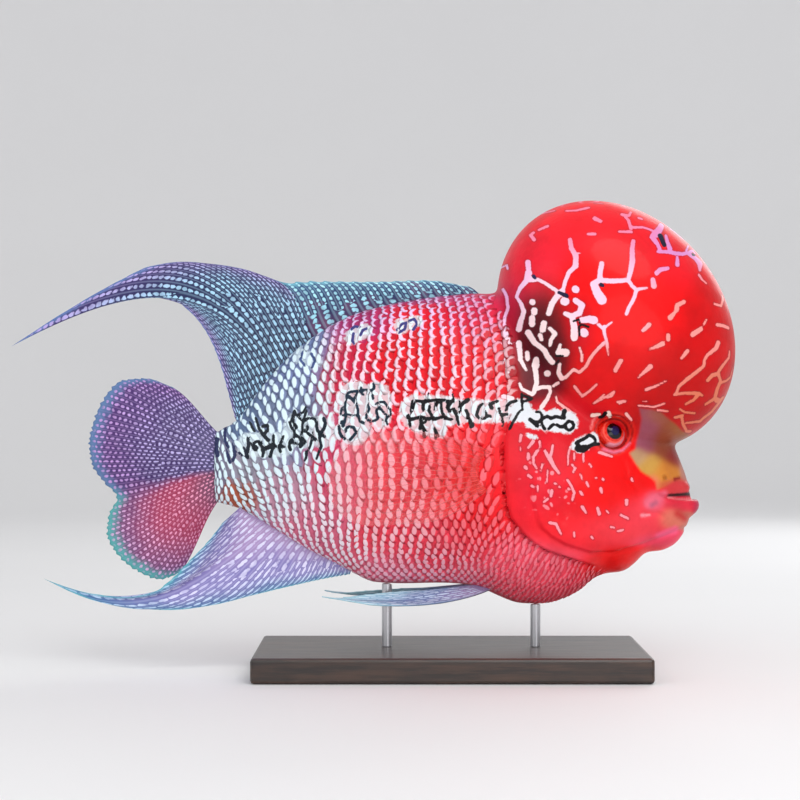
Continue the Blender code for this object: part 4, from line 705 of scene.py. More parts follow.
# Pale patches on the scales and the cheek, on which the ink is drawn.
INK_PATCHES = (
    (36, 30, 416, 412, 30, -1), (24, 22, 450, 411, 68, 0), (20, 24, 530, 419, 32, 2),
    (15, 12, 574, 444, 14, -6), (34, 30, 356, 398, 0, 32), (26, 20, 378, 396, 4, 22),
    (18, 16, 418, 424, 20, 6), (34, 30, 300, 430, 24, 2), (26, 24, 250, 444, 36, 0),
    (16, 14, 352, 338, 14, -6), (15, 13, 400, 328, 16, -6), (18, 16, 302, 356, 14, 6),
    (5, 4, 524, 434, 9, 3),
)
BODY_INK = (
    (2.4, 2.4, 414, 401, 11, 0.5, 10, -1.5, 8, 0, 5, 2.5, 3, -1.5), (1.8, 1.4, 452, 403, 0, -5, -1, -4),
    (4.2, 3, 413, 402, -1, 5, -1, 4), (3, 2.4, 423, 403, -1, 4, 1, 3), (1.4, 1, 427, 400, 0, -4, 1, -3),
    (3, 2.4, 438, 401, -3, 3, -1, 5), (1.8, 2.4, 440, 401, 0, 7, 1, 5, 4, 4),
    (2.2, 2.8, 429, 406, -1, 4, 2, 4, 3, 4), (4, 2.6, 449, 402, -3, 5, 2, 4),
    (2.8, 2.6, 409, 419, 6, -1, 5, -1.5, 5, 1.5, 7, 1, 8, -2, 5, 1, 5, 1), (4, 1.8, 408, 416, 1, 5, 1, 5),
    (2.6, 2.6, 420, 419, 1, 4, -2, 5), (2, 4.4, 421, 424, 3, 6, 0, 5), (2, 2, 426, 419, -2, 3, -3, 1),
    (1.8, 5, 433, 427, 2, 5, 1, 5), (3.2, 1.8, 452, 409, 3, 6, 1, 5, 1, 4),
    (3.8, 2.6, 466, 400, -5, 3, -3, 4, 0, 4), (2.6, 4, 464, 410, 2, 4, 0, 4, 2, 3),
    (4.4, 3.2, 470, 424, -1, 2), (2.4, 2.4, 480, 404, -3, 2, -2, 5, -1, 4, 3, 3, 4, 0, 5, -3),
    (1.6, 2.6, 483, 411, 1, 4, 4, 1), (2, 3.4, 495, 401, -5, 2, -3, 1, 2, 4),
    (2.4, 1.8, 496, 408, 1, 5, 2, 2, 0, 5, 2, 4, -2, 1), (2.2, 2.4, 504, 414, -6, 0),
    (2.4, 2.4, 503, 410, 1, -5, 4, -3, 5, -1), (2, 1.8, 518, 394, 0, 8, 1, 7),
    (1.8, 2.2, 518, 395, 6, 2, 4, 2), (2.2, 1.8, 528, 399, -6, 2, -4, 1),
    (1.8, 2.4, 519, 409, -4, 3, -3, 5, -3, 5, -3, 6), (3.4, 3.6, 526, 419, 4, 3, 3, 3),
    (1.8, 2.4, 532, 411.5, 3.5, 0, 2, 2.5, 0, 4, -2.5, 3, -4, 0.5), (1.8, 2.6, 537, 420, 1, 4, 2, 4),
    (2.8, 2.6, 538, 418, 5, -2, 4, 2, 4, -2, 6, 1.5), (4.4, 2.4, 560, 411, -1, 3, 1, 4),
    (2.2, 2.8, 544, 428, 3, -3, 2, -1), (2.2, 3.4, 552, 424, 3, 2, 5, 0),
    (2.4, 2.4, 564, 420.5, 3.5, 1, 1.5, 3, -1.5, 3.5, -3.5, 1.5, -3, -2, -0.5, -3.5, 3.5, -3.5),
    (3, 2.4, 571, 442, 3, -2, 6, -3, 4, -3, 4, 2, 2, 3), (3, 2.6, 571, 447, 2, -3, -1, -3),
    (5, 2.6, 573, 448, 5, 1, 4, -3, 6, -3, 5, 0), (3.4, 2.6, 574, 446, 6, -1),
    (2, 3.4, 594, 417, 3, -1, 2, -3), (2, 2, 374, 384, 1, 4, -3, 3, -6, -1, -6, 1, -8, 1, -4, 2),
    (1.8, 1.8, 362, 388, -1, 3, 3, 4), (1.8, 1.8, 376, 404, 5, -2, 4, 0, 3, 5, 3, 3),
    (1.8, 2, 369, 391, -1, 6, 0, 6, 2, 6, -3, 6, 0, 3, 4, 3, 5, -1, 3, -2, -2, -5, 0, -3, 3, -3),
    (1.8, 1.8, 380, 407, 4, 5, 4, 4, -2, 4, 2, 4), (1.6, 1.6, 391, 410, 0, 4, -3, 3),
    (1.8, 2.4, 358, 393, -2, 5, 1, 5, 2, 7, 0, 5, 2, 6, 4, 2),
    (1.8, 2.2, 348, 394, -1, 6, -1, 7, 1, 8, -1, 6, -2, 5), (2.8, 1.8, 350, 397, 2, 1, 4, 5),
    (1.6, 1.6, 347, 414, 6, 1, 5, 0), (1.8, 1.6, 343, 408, -1, 6, 4, 2), (3.4, 2.6, 343, 422, 3, -1),
    (2.2, 2.4, 347, 431, 0, -3, 3, -2, 5, 1, 2, 5, -3, 4, -3, 3), (2, 2.8, 340, 425, 1, 7, 2, 4, 3, 2),
    (2, 2, 373, 395, 1, 4), (2.6, 3.4, 296, 411, -1, 4, -1, 5), (2, 2, 297, 413, 5, 6, 3, 3),
    (2, 1.8, 308, 411, -2, 6, -2, 7, 0, 7, -1, 3), (2, 1.6, 301, 414, 4, -2, 3, -6),
    (2, 2.8, 305, 421, 5, -3, 5, 0, 3, 3, 0, 5, 1, 4, 4, 4, 3, 2),
    (2.8, 1.8, 325, 418, 2, 5, -2, 6, -4, 4, 0, 5, 2, 8, -3, 6, -2, 6),
    (2, 2, 291, 422, 2, 5, 3, 4, 0, 6, -5, 4, 0, 5), (2.8, 2.8, 296, 424, 2, 3), (2.8, 2.2, 309, 426, 0, 3),
    (2, 3, 306, 430, 5, 4, 4, 3, 2, 2), (2, 2.8, 297, 434, 5, 4, 2, 6, -2, 2),
    (2, 1.8, 304, 437, 3, 4, -2, 3), (2.4, 1.6, 313, 440, -1, 5, -2, 4), (2, 2, 292, 442, 6, 1, 4, 1),
    (3, 3, 291, 446, 1, 3), (2.6, 1.6, 308, 451, 0, 5, -2, 4), (2.6, 2.6, 264, 426, 5, -1, 0, 5, -4, 4),
    (2.4, 3.4, 262, 430, 2, 4, 3, 3, 3, 3), (2.8, 3.4, 249, 438, 1, 6, -1, 6, -1, 6),
    (2.2, 2.2, 250, 442, 4, 2, 4, -3), (5.4, 5.4, 256, 447, 1, 1),
    (2.6, 4.6, 260, 441, 3, 4, 3, 3, 4, -1, 3, -2, 3, 1), (2.2, 2.8, 275, 435, 0, 6, 0, 6, -2, 4, -1, 5),
    (2.2, 2.8, 285, 436, -2, 5, -2, 5, 1, 5), (1.8, 2.2, 276, 446, 5, 0, 5, 0),
    (3.4, 2, 264, 449, 1, 3, -1, 4), (1.8, 3, 245, 447, 2, 5, 2, 5), (2, 2.4, 226, 426, -1, 8, 1, 7, 3, 6),
    (2, 2.8, 234, 443, 1, 6, 1, 6, -2, 5), (5, 4, 217, 440, -1, 8, 2, 7), (2.2, 2.6, 228, 450, 1, 7, 2, 5),
    (2.2, 2, 240, 452, 3, 3), (1.8, 1.8, 251, 421, 2, 6, 3, 4), (2, 2.2, 257, 418, 2, 6, 2, 6),
    (2.2, 2, 352, 330, 3, -3, 5, 1), (2, 2, 354, 334, -1, 8, 3, 4), (2.2, 2, 361, 336, 2, -5, 5, -2),
    (2, 2, 397, 331, 5, -6, 4, -1, -1, 6, -6, 4), (2, 2, 409, 322, 5, -2, 3, 5, -4, 6),
    (2, 1.8, 303, 352, -2, 8, 5, 6), (2, 1.8, 312, 354, 4, 7, -3, 7),
)


def new_node(tree, kind, settings, values):
    """Adds a node. The settings go first, then the values or links of its sockets."""
    made = tree.nodes.new(kind)
    for name, value in settings.items():
        setattr(made, name, value)
    for name, value in values.items():
        socket = made.inputs[name]
        if isinstance(value, bpy.types.NodeSocket):
            tree.links.new(value, socket)
        elif socket.type == "RGBA":
            socket.default_value = (*value, 1.0)
        else:
            socket.default_value = value
    return made


class Value:
    """A shader socket in an expression. Sums and products of it add Math nodes."""

    def __init__(self, paint, socket):
        self.paint, self.socket = paint, socket


def value_operator(operation, turned_round):
    """The method of Value for one operation, with the value last when it is turned round."""
    def method(self, *others):
        return self.paint.maths(operation, *((*others, self) if turned_round else (self, *others)))

    return method


for sign, operation in (("add", "ADD"), ("sub", "SUBTRACT"), ("mul", "MULTIPLY"), ("truediv", "DIVIDE"),
                        ("pow", "POWER"), ("abs", "ABSOLUTE")):
    setattr(Value, "__" + sign + "__", value_operator(operation, False))
    if sign in ("add", "sub", "mul"):
        setattr(Value, "__r" + sign + "__", value_operator(operation, True))


class Paint:
    """A material, and short ways to write its nodes."""

    def __init__(self, name, roughness=0.4, **settings):
        self.material = bpy.data.materials.new(name)
        self.material.use_nodes = True
        self.tree = self.material.node_tree
        self.shader = self.tree.nodes["Principled BSDF"]
        self.shader.inputs["Roughness"].default_value = roughness
        for socket, value in settings.items():
            self.shader.inputs[socket.replace("_", " ").title().replace("Ior", "IOR")].default_value = value

    def node(self, kind, settings, values, output=0):
        values = {name: value.socket if isinstance(value, Value) else value for name, value in values.items()}
        return Value(self, new_node(self.tree, "ShaderNode" + kind, settings, values).outputs[output])

    def maths(self, operation, *values):
        return self.node("Math", {"operation": operation}, dict(enumerate(values)))

    def vectors(self, operation, *values):
        return self.node("VectorMath", {"operation": operation}, dict(enumerate(values)))

    def number(self, name, output="Fac"):
        return self.node("Attribute", {"attribute_name": name}, {}, output)

    def colour(self, name):
        return self.number(name, "Color")

    def place(self):
        return self.node("TexCoord", {}, {}, "Object")

    def noise(self, scale, detail=2.0, rough=0.5, stretch=None):
        vector = self.vectors("MULTIPLY", self.place(), stretch) if stretch else self.place()
        sockets = {"Vector": vector, "Scale": scale, "Detail": detail, "Roughness": rough}
        return self.node("TexNoise", {}, sockets, "Fac")

    def cells(self, vector, scale, feature="F1"):
        return self.node("TexVoronoi", {"feature": feature}, {"Vector": vector, "Scale": scale}, "Distance")

    def whole(self, value):
        return self.maths("FLOOR", value)

    def part(self, value):
        return self.maths("FRACT", value)

    def ease(self, value, low, high):
        """0 below low, 1 above high, and smooth between. With high under low it falls instead."""
        if low < high:
            return self.node("MapRange", {"interpolation_type": "SMOOTHSTEP"},
                             {"Value": value, "From Min": low, "From Max": high})
        return 1 - self.ease(value, high, low)

    def either(self, share, first, second, blend="MIX"):
        """Mixes two colours by a share. Sockets 6, 7 and 2 are the node's colours."""
        settings = {"data_type": "RGBA", "blend_type": blend}
        return self.node("Mix", settings, {0: share, 6: first, 7: second}, 2)

    def feed(self, socket, value):
        self.tree.links.new(value.socket, self.shader.inputs[socket])

    def bumped(self, height, strength, distance):
        sockets = {"Height": height, "Strength": strength, "Distance": distance}
        self.feed("Normal", self.node("Bump", {}, sockets, "Normal"))


PATCH_COLOUR, HALO_COLOUR = linear(222, 240, 246), linear(96, 8, 36)


def marked(paint, colour, patch_share=0.85):
    """Lays the pale strokes and the ink over a colour, both read from the mesh."""
    wobble = paint.noise(900, 1.0) * 0.5 - 0.25
    pale_gap, ink_gap = paint.number("pale_gap") + wobble, paint.number("ink_gap") + wobble
    colour = paint.either(paint.ease(pale_gap, 0.8, 0.1) * 0.30, colour, HALO_COLOUR)
    colour = paint.either(paint.ease(pale_gap, 0.16, -0.30), colour, paint.colour("pale"))
    patch = paint.ease(paint.number("patch_gap") + 5.0 * paint.noise(330, 3.0, 0.7) - 2.2, 0.8, -0.6)
    colour = paint.either(patch * patch_share, colour, PATCH_COLOUR)
    return paint.either(paint.ease(ink_gap, 0.36, 0.02), colour, paint.colour("ink"))


def skin_paint():
    """Wet red skin, with a net of pale lines on the hump's ridge and freckles on the gill cover."""
    paint = Paint("living red skin", 0.38, specular_ior_level=0.14, coat_weight=0.10, coat_roughness=0.06)
    mottle = paint.noise(70, 3.0, 0.6)
    shade = paint.ease(mottle, 0.25, 0.8) * 0.28
    colour = paint.either(shade, paint.colour("base"), (0.30, 0.01, 0.015), "MULTIPLY")
    pushed = paint.node("TexNoise", {}, {"Vector": paint.place(), "Scale": 60.0}, "Color")
    warped = paint.vectors("MULTIPLY_ADD", pushed, (0.012, 0.012, 0.012), paint.place())
    crack = paint.cells(warped, 85.0, "DISTANCE_TO_EDGE")
    net = paint.ease(crack, 0.075, 0.040) * paint.ease(paint.noise(45, 2.0), 0.46, 0.54)
    colour = paint.either(net * paint.number("netted"), colour, paint.colour("pale"))
    spot = paint.cells(warped, 270.0)
    spot = paint.ease(spot + 0.5 * (paint.noise(200, 1.0) - 0.5), 0.30, 0.14)
    freckles = spot * paint.ease(paint.number("freckled"), 0.25, 0.7) * 0.75
    paint.feed("Base Color", marked(paint, paint.either(freckles, colour, paint.colour("pale"))))
    paint.feed("Roughness", 0.32 + 0.16 * mottle)
    paint.bumped(paint.noise(1400, 2.0) + 2.0 * paint.noise(420, 2.0), 0.22, 0.0003)
    return paint.material


def scale_paint():
    """On the back each scale has a pale crescent along its rear edge; below and behind it has a pearl."""
    paint = Paint("pearly scales", 0.3, specular_ior_level=0.22, coat_weight=0.12, coat_roughness=0.12)
    along, across, pearled = map(paint.number, ("along", "across", "pearled"))
    tone, strength = paint.number("tone"), paint.number("strength")
    ragged = paint.noise(430, 2.0) * 0.7 - 0.35
    slant = 0.14 * (tone - 0.5)
    margin = (((along - 0.42) / 0.58) ** 2.0 + across * across) ** 0.5 + ragged * 0.7
    crescent = paint.ease(margin, 0.52, 0.66) * paint.ease(margin, 0.98, 0.86)
    crescent = crescent * paint.ease(abs(across + slant * 4), 0.78, 0.50)
    crescent = crescent * paint.ease(along + 0.6 * ragged, 0.50, 0.60)
    oval = ((along - 0.75 + 2.0 * slant * across) / (0.13 + 0.06 * tone)) ** 2.0 + (across / 0.64) ** 2.0
    pearl = paint.ease(oval + 1.6 * ragged, 1.15, 0.55)
    band = crescent + pearled * (pearl - crescent)
    base = paint.either(tone * 0.30, paint.colour("base"), (0.66, 0.46, 0.52), "MULTIPLY")
    # Painted shade: each scale grows darker towards its root, where it comes out from under the scale ahead.
    base = paint.either(paint.ease(along, 0.60, 0.46) * 0.35, base, (0.40, 0.20, 0.26), "MULTIPLY")
    colour = paint.either(band * strength, base, paint.colour("pale"))
    colour = paint.either(paint.ease(margin, 0.94, 1.02) * 0.35, colour, (0.55, 0.35, 0.45), "MULTIPLY")
    paint.feed("Base Color", marked(paint, colour, 0.58 + 0.34 * band))
    paint.feed("Roughness", 0.26 + 0.2 * paint.noise(300, 2.0))
    paint.bumped(paint.noise(1600, 1.0) + 3.0 * paint.noise(500, 1.0, stretch=(1.0, 1.0, 3.0)), 0.2, 0.0003)
    return paint.material


# The scales: rows along the trunk, made by one node tree and laid on the skin. The rows' heights are in mm.
SCALE_ROWS_UP = (6.4, 6.4, 6.3, 6.2, 6.0, 5.8, 5.6, 5.4, 5.2, 5.0, 4.8, 4.6, 4.4, 4.2, 4.0, 3.8, 3.6)
SCALE_ROWS_DOWN = (6.4, 6.2, 5.9, 5.6, 5.3, 5.0, 4.7, 4.4, 4.1, 3.8, 3.6, 3.4, 3.2, 3.1) + (3.0,) * 5
TALLEST_ROW = 0.0064
ROW_SHRINK = curve_through(((-0.118, 0.60), (-0.105, 0.74), (-0.08, 0.86), (-0.04, 0.95), (0.02, 1.0),
                            (0.08, 1.0)))
SCALE_SPACING = curve_through(((-0.118, 0.0030), (-0.104, 0.0038), (-0.085, 0.0049), (-0.06, 0.0053),
                               (-0.02, 0.0058), (0.03, 0.0058), (0.08, 0.0050)))
SCALE_LENGTH, SCALE_WIDTH = 1.72, 0.98   # as shares of the spacing and of the row's height
SCALE_ROOT = 0.42                        # where along a scale its root lies
LENGTH_SPREAD, WIDTH_SPREAD = (0.96, 1.05), (0.97, 1.04)
MARK_SPREAD, SWING_SPREAD = 0.05, 0.06   # as a share of the spacing, and in radians
SCALES_START, SCALES_END = -0.1165, 0.078
RIDGE_MARGIN, HEAD_OVERLAP = 0.0006, 0.0008
STATIONS, TURNS = 260, 241
SCALE_BAKE_PATCH = 0.003
INK_REACH = 3.9                          # scales nearer to the ink than this, in mm, have finer plates
# In drawing units: where pearls take the place of crescents, and where the marks grow faint near the gill.
PEARLS_BELOW, PEARLS_BEHIND, FAINT_NEAR_GILL = (425, 462), (356, 318), (430, 520)


def unit(vector):
    return vector / np.linalg.norm(vector)


def scale_roots(side):
    """Where each scale grows, the way it points, its length and width, and a random share."""
    rng = np.random.default_rng(SEED + (1 if side > 0 else 2))
    stations = np.linspace(SCALES_START, SCALES_END, STATIONS)
    sheet = section_points(stations[:, None], np.linspace(0, math.pi, TURNS)[None, :])
    steps = np.linalg.norm(np.diff(sheet, axis=1), axis=2)
    reached = np.concatenate([np.zeros((STATIONS, 1)), np.cumsum(steps, axis=1)], 1)
    waist = reached[:, TURNS // 2]
    mirror = np.array([1.0, side, 1.0])

    def on_sheet(station, arc):
        return np.array([np.interp(arc, reached[station], sheet[station, :, c]) for c in range(3)])

    roots = []
    heights = [(k, -1, SCALE_ROWS_UP) for k in range(len(SCALE_ROWS_UP))]
    heights += [(k, 1, SCALE_ROWS_DOWN) for k in range(1, len(SCALE_ROWS_DOWN))]
    for k, way, rows in heights:
        offset = (sum(rows[:k + 1]) - 0.5 * (rows[0] + rows[k])) / 1000
        height = rows[k] / 1000
        pace = 0.45 + 0.55 * (height / TALLEST_ROW)
        fineness = 1 - 0.42 * smoothstep(-0.02, 0.035, stations) * (0 if way < 0 else min(1.0, k / 9))
        gaps = SCALE_SPACING(stations) * pace * fineness
        phase = np.concatenate([[0], np.cumsum(np.diff(stations) / gaps[:-1])])
        for mark in np.arange(0.5 * (k % 2), phase[-1], 1.0):
            x = float(np.interp(mark + rng.normal(0, MARK_SPREAD), phase, stations))
            shrink = float(ROW_SHRINK(x))
            arc = float(np.interp(x, stations, waist)) + way * offset * shrink
            i = min(int(np.searchsorted(stations, x)), STATIONS - 1)
            if not RIDGE_MARGIN < arc < reached[i, -1] - RIDGE_MARGIN:
                continue
            place = on_sheet(i, arc)
            if behind_head(place[:1], place[2:])[0] < -HEAD_OVERLAP:
                continue
            j = max(i - 3, 0)
            behind = on_sheet(j, float(waist[j]) + way * offset * float(ROW_SHRINK(stations[j])))
            tail_way, down_way = behind - place, on_sheet(i, arc + 0.001) - place
            if np.linalg.norm(tail_way) < 1e-6:
                tail_way = np.array([-1.0, 0, 0])
            tail_way, down_way = unit(tail_way * mirror), down_way * mirror
            out_way = unit(np.cross(down_way, tail_way) * side)
            across_way = np.cross(out_way, tail_way)
            swing = rng.normal(0, SWING_SPREAD)
            tail_way, across_way = (math.cos(swing) * tail_way + math.sin(swing) * across_way,
                                    math.cos(swing) * across_way - math.sin(swing) * tail_way)
            aim = Matrix(np.stack([tail_way, across_way, out_way], 1).tolist()).to_euler()
            length = SCALE_LENGTH * float(gaps[i]) * rng.uniform(*LENGTH_SPREAD)
            width = SCALE_WIDTH * height * shrink * rng.uniform(*WIDTH_SPREAD)
            around = (math.atan2(side * place[1], place[2] - BODY_AXIS) / (2 * math.pi)) % 1.0
            roots.append((*(place * mirror), *aim, length, width, x, around, rng.random()))
    return np.array(roots)


def scale_plate(name, lengthways, crossways):
    """One scale, a unit long, lying along +X: a rounded plate with its rear edge raised."""
    places = []
    for along in [a / lengthways for a in range(lengthways + 1)]:
        rounding = max(0.0, (along - SCALE_ROOT) / (1 - SCALE_ROOT)) ** 2
        half = max(math.sqrt(max(0.0, 1 - rounding)) if along < 0.999 else 0.0, 0.05)
        half *= 0.86 + 0.14 * min(1.0, along / 0.3)
        places += [(along, across * half) for across in np.linspace(-1, 1, crossways + 1)]
    points = [(along - SCALE_ROOT, across, 0.0) for along, across in places] + [(0.08, 0.0, 0.0)]
    places.append((0.5, 0.0))
    rim = grid_rim(crossways + 1, 1, lengthways + 1, crossways + 1)
    centre = len(points) - 1
    faces = grid_faces(lengthways + 1, crossways + 1)
    faces += [(here, there, centre) for here, there in zip(rim, rim[1:] + rim[:1])]
    rise = [(-0.30 + 0.66 * along - 0.14 * across ** 4) / 1000 for along, across in places]
    rise[centre] = -0.0011
    plate = mesh_object(name, points, faces)
    along, across = np.array(places).T
    put_values(plate.data, along=along, across=across, rise=rise)
    plate.hide_render = True
    return plate


def scale_tree(material):
    """Puts a plate on every root, turns them to real mesh, and lays them on the skin by their rise."""
    tree = bpy.data.node_groups.new("lay scales", "GeometryNodeTree")
    sockets = (("Roots", "NodeSocketGeometry"), ("Plate", "NodeSocketObject"), ("Skin", "NodeSocketObject"))
    for name, kind in sockets:
        tree.interface.new_socket(name, in_out="INPUT", socket_type=kind)
    tree.interface.new_socket("Scales", in_out="OUTPUT", socket_type="NodeSocketGeometry")

    def node(kind, values, output=0, **settings):
        return new_node(tree, "GeometryNode" + kind, settings, values).outputs[output]

    def named(kind, name):
        return node("InputNamedAttribute", {"Name": name}, "Attribute", data_type=kind)

    def moved_by(operation, values):
        return new_node(tree, "ShaderNodeVectorMath", {"operation": operation}, values).outputs[0]

    given = tree.nodes.new("NodeGroupInput").outputs
    plate, skin = [node("ObjectInfo", {"Object": given[name]}, "Geometry") for name in ("Plate", "Skin")]
    turn = new_node(tree, "FunctionNodeEulerToRotation", {}, {0: named("FLOAT_VECTOR", "aim")}).outputs[0]
    placed = node("InstanceOnPoints", {"Points": given["Roots"], "Instance": plate, "Rotation": turn,
                                       "Scale": named("FLOAT_VECTOR", "size")})
    real = node("RealizeInstances", {"Geometry": placed})
    position = node("InputPosition", {})
    nearest = node("Proximity", {0: skin, "Sample Position": position}, "Position", target_element="FACES")
    sample = {"Mesh": skin, "Value": node("InputNormal", {}), "Sample Position": position}
    normal = node("SampleNearestSurface", sample, "Value", data_type="FLOAT_VECTOR")
    lifted = moved_by("SCALE", {0: normal, "Scale": named("FLOAT", "rise")})
    laid = node("SetPosition", {"Geometry": real, "Position": moved_by("ADD", {0: nearest, 1: lifted})})
    coated = node("SetMaterial", {"Geometry": laid, "Material": material})
    new_node(tree, "NodeGroupOutput", {}, {"Scales": coated})
    return tree


def grow_scales(side, word, skin, plates, tree):
    """One flank's scales: finer plates near the ink, and plain plates elsewhere, joined to one mesh."""
    roots = scale_roots(side)
    ink_near = strokes_gap(roots[:, 0], roots[:, 2], BODY_INK) < INK_REACH
    made = []
    for plate, group in zip(plates, (roots[~ink_near], roots[ink_near])):
        if len(group) == 0:
            continue
        seeds = mesh_object("scale_roots", group[:, :3], [])
        size = np.column_stack([group[:, 6:8], np.ones(len(group))])
        for name, table in (("aim", group[:, 3:6]), ("size", size)):
            layer = seeds.data.attributes.new(name, "FLOAT_VECTOR", "POINT")
            layer.data.foreach_set("vector", table.ravel())
        x, z, around, draw = group[:, 8], group[:, 2], group[:, 9], group[:, 10]
        rng = np.random.default_rng(SEED)
        below = smoothstep(*[(DRAWING_Z - down) * UNIT for down in PEARLS_BELOW], z)
        behind = smoothstep(*[(right - DRAWING_X) * UNIT for right in PEARLS_BEHIND], x)
        near_gill = smoothstep(*[(right - DRAWING_X) * UNIT for right in FAINT_NEAR_GILL], x)
        strength = np.clip(0.95 - 0.45 * near_gill + 0.2 * (draw - 0.5), 0, 1)
        put_values(seeds.data, base=washed(x, z, FLESH_WASHES) * (0.86 + 0.28 * draw)[:, None],
                   pale=washed(x, z, PALE_WASHES), pearled=np.clip(below + behind, 0, 1), strength=strength,
                   tone=rng.random(len(group)), root_along=(x + 0.12) / 0.24, root_around=around)
        growth = seeds.modifiers.new("scales", "NODES")
        growth.node_group = tree
        for item in tree.interface.items_tree:
            if item.in_out == "INPUT" and item.name in ("Plate", "Skin"):
                growth[item.identifier] = plate if item.name == "Plate" else skin
        made.append(evaluated(seeds))
    scales = made[0]
    for other in made[1:]:
        with bpy.context.temp_override(active_object=scales, selected_editable_objects=[scales, other]):
            bpy.ops.object.join()
    scales.name = scales.data.name = "scales_" + word
    return scales


# The fins. Each is a fan of rays whose share runs from 0, at the front or top, to 1. For each share its
# tables give the ray's root, its tip, the ways it leaves and arrives in degrees, and how far those reach.
STEADY_REACH = ((0.0, 0.33), (1.0, 0.33))
DORSAL = (
    ((0.0, 0.0170, 0.1835), (0.2, -0.0130, 0.1805), (0.4, -0.0415, 0.1742), (0.55, -0.0630, 0.1642),
     (0.7, -0.0800, 0.1500), (0.85, -0.0935, 0.1335), (1.0, -0.1040, 0.1205)),
    ((0.0, 0.0085, 0.1893), (0.12, -0.0120, 0.1924), (0.3, -0.0400, 0.1916), (0.48, -0.0690, 0.1918),
     (0.555, -0.0815, 0.1912), (0.59, -0.0910, 0.1942), (0.62, -0.1030, 0.1980), (0.65, -0.1170, 0.2002),
     (0.68, -0.1330, 0.2012), (0.71, -0.1480, 0.1990), (0.735, -0.1660, 0.1905), (0.755, -0.1950, 0.1735),
     (0.765, -0.2165, 0.1594), (0.777, -0.1950, 0.1705), (0.79, -0.1740, 0.1800), (0.81, -0.1560, 0.1846),
     (0.84, -0.1405, 0.1842), (0.875, -0.1285, 0.1770), (0.91, -0.1195, 0.1655), (0.945, -0.1135, 0.1515),
     (0.975, -0.1095, 0.1375), (1.0, -0.1062, 0.1255)),
    ((0.0, 150), (0.3, 143), (0.55, 128), (0.7, 118), (0.85, 112), (1.0, 112)),
    ((0.0, 170), (0.3, 172), (0.55, 158), (0.65, 176), (0.71, 192), (0.765, 208), (0.81, 180), (0.87, 145),
     (1.0, 112)),
    ((0.0, 0.33), (0.55, 0.36), (0.7, 0.5), (0.765, 0.52), (0.82, 0.5), (0.88, 0.36), (1.0, 0.33)),
    ((0.0, 0.33), (0.6, 0.36), (0.7, 0.36), (0.765, 0.42), (0.82, 0.3), (1.0, 0.33)))
ANAL = (
    ((0.0, -0.0480, 0.0525), (0.25, -0.0625, 0.0590), (0.5, -0.0780, 0.0675), (0.75, -0.0920, 0.0755),
     (1.0, -0.1020, 0.0818)),
    ((0.0, -0.0500, 0.0472), (0.12, -0.0610, 0.0455), (0.3, -0.0800, 0.0415), (0.42, -0.0990, 0.0370),
     (0.5, -0.1180, 0.0325), (0.56, -0.1380, 0.0303), (0.61, -0.1580, 0.0315), (0.655, -0.1800, 0.0368),
     (0.69, -0.1993, 0.0458), (0.725, -0.1790, 0.0392), (0.765, -0.1600, 0.0368), (0.81, -0.1460, 0.0392),
     (0.85, -0.1370, 0.0455), (0.9, -0.1285, 0.0540), (0.95, -0.1200, 0.0625), (1.0, -0.1115, 0.0730)),
    ((0.0, 238), (0.3, 228), (0.6, 222), (0.8, 222), (1.0, 224)),
    ((0.0, 200), (0.3, 196), (0.55, 182), (0.69, 156), (0.8, 190), (0.9, 212), (1.0, 222)),
    ((0.0, 0.33), (0.5, 0.33), (0.69, 0.42), (0.8, 0.42), (0.9, 0.36), (1.0, 0.33)),
    ((0.0, 0.33), (0.5, 0.33), (0.69, 0.42), (0.8, 0.34), (1.0, 0.33)))
CAUDAL = (
    ((0.0, -0.1115, 0.1150), (0.5, -0.1125, 0.1010), (1.0, -0.1115, 0.0865)),
    ((0.0, -0.1370, 0.1400), (0.07, -0.1500, 0.1442), (0.14, -0.1615, 0.1432), (0.21, -0.1695, 0.1360),
     (0.29, -0.1752, 0.1240), (0.38, -0.1778, 0.1120), (0.46, -0.1768, 0.1020), (0.53, -0.1712, 0.0928),
     (0.58, -0.1650, 0.0850), (0.63, -0.1692, 0.0765), (0.7, -0.1702, 0.0672), (0.77, -0.1660, 0.0580),
     (0.85, -0.1560, 0.0488), (0.93, -0.1440, 0.0440), (1.0, -0.1340, 0.0470)),
    ((0.0, 142), (0.5, 182), (1.0, 226)),
    ((0.0, 152), (0.25, 168), (0.5, 182), (0.75, 198), (1.0, 232)))
PECTORAL = (
    ((0.0, 0.0225, 0.1065), (1.0, 0.0205, 0.0925)),
    ((0.0, -0.0060, 0.1160), (0.15, -0.0240, 0.1190), (0.3, -0.0420, 0.1160), (0.45, -0.0545, 0.1080),
     (0.6, -0.0600, 0.0960), (0.75, -0.0560, 0.0820), (0.88, -0.0400, 0.0740), (1.0, -0.0150, 0.0750)),
    ((0.0, 150), (0.5, 180), (1.0, 214)),
    ((0.0, 176), (0.5, 186), (1.0, 184)))
PELVIC = (
    ((0.0, 0.0185, 0.0405), (1.0, 0.0120, 0.0425)),
    ((0.0, -0.0400, 0.0345), (0.25, -0.0630, 0.0382), (0.5, -0.0560, 0.0372), (0.75, -0.0420, 0.0385),
     (1.0, -0.0240, 0.0400)),
    ((0.0, 200), (1.0, 186)),
    ((0.0, 176), (0.3, 172), (1.0, 178)))
DORSAL_BORDER = 0.575                    # the share where the spines end and the soft rays begin
ANAL_DRIFT = -0.0085                     # how far the fin's rear edge swings towards the camera's side
CAUDAL_DRIFT = 0.0095                    # how far the lower lobe swings away from the camera's side
PECTORAL_ROOT_Y, PECTORAL_TIP_Y = 0.0310, 0.0465
PELVIC_ROOT_Y, PELVIC_OUTER_Y, PELVIC_INNER_Y = 0.0085, 0.0215, 0.0105
MEMBRANE = 0.00035
RAY_THINNED, RIM_THINNED = 0.72, 0.75    # the share of their girth that rays lose, and that the rim keeps
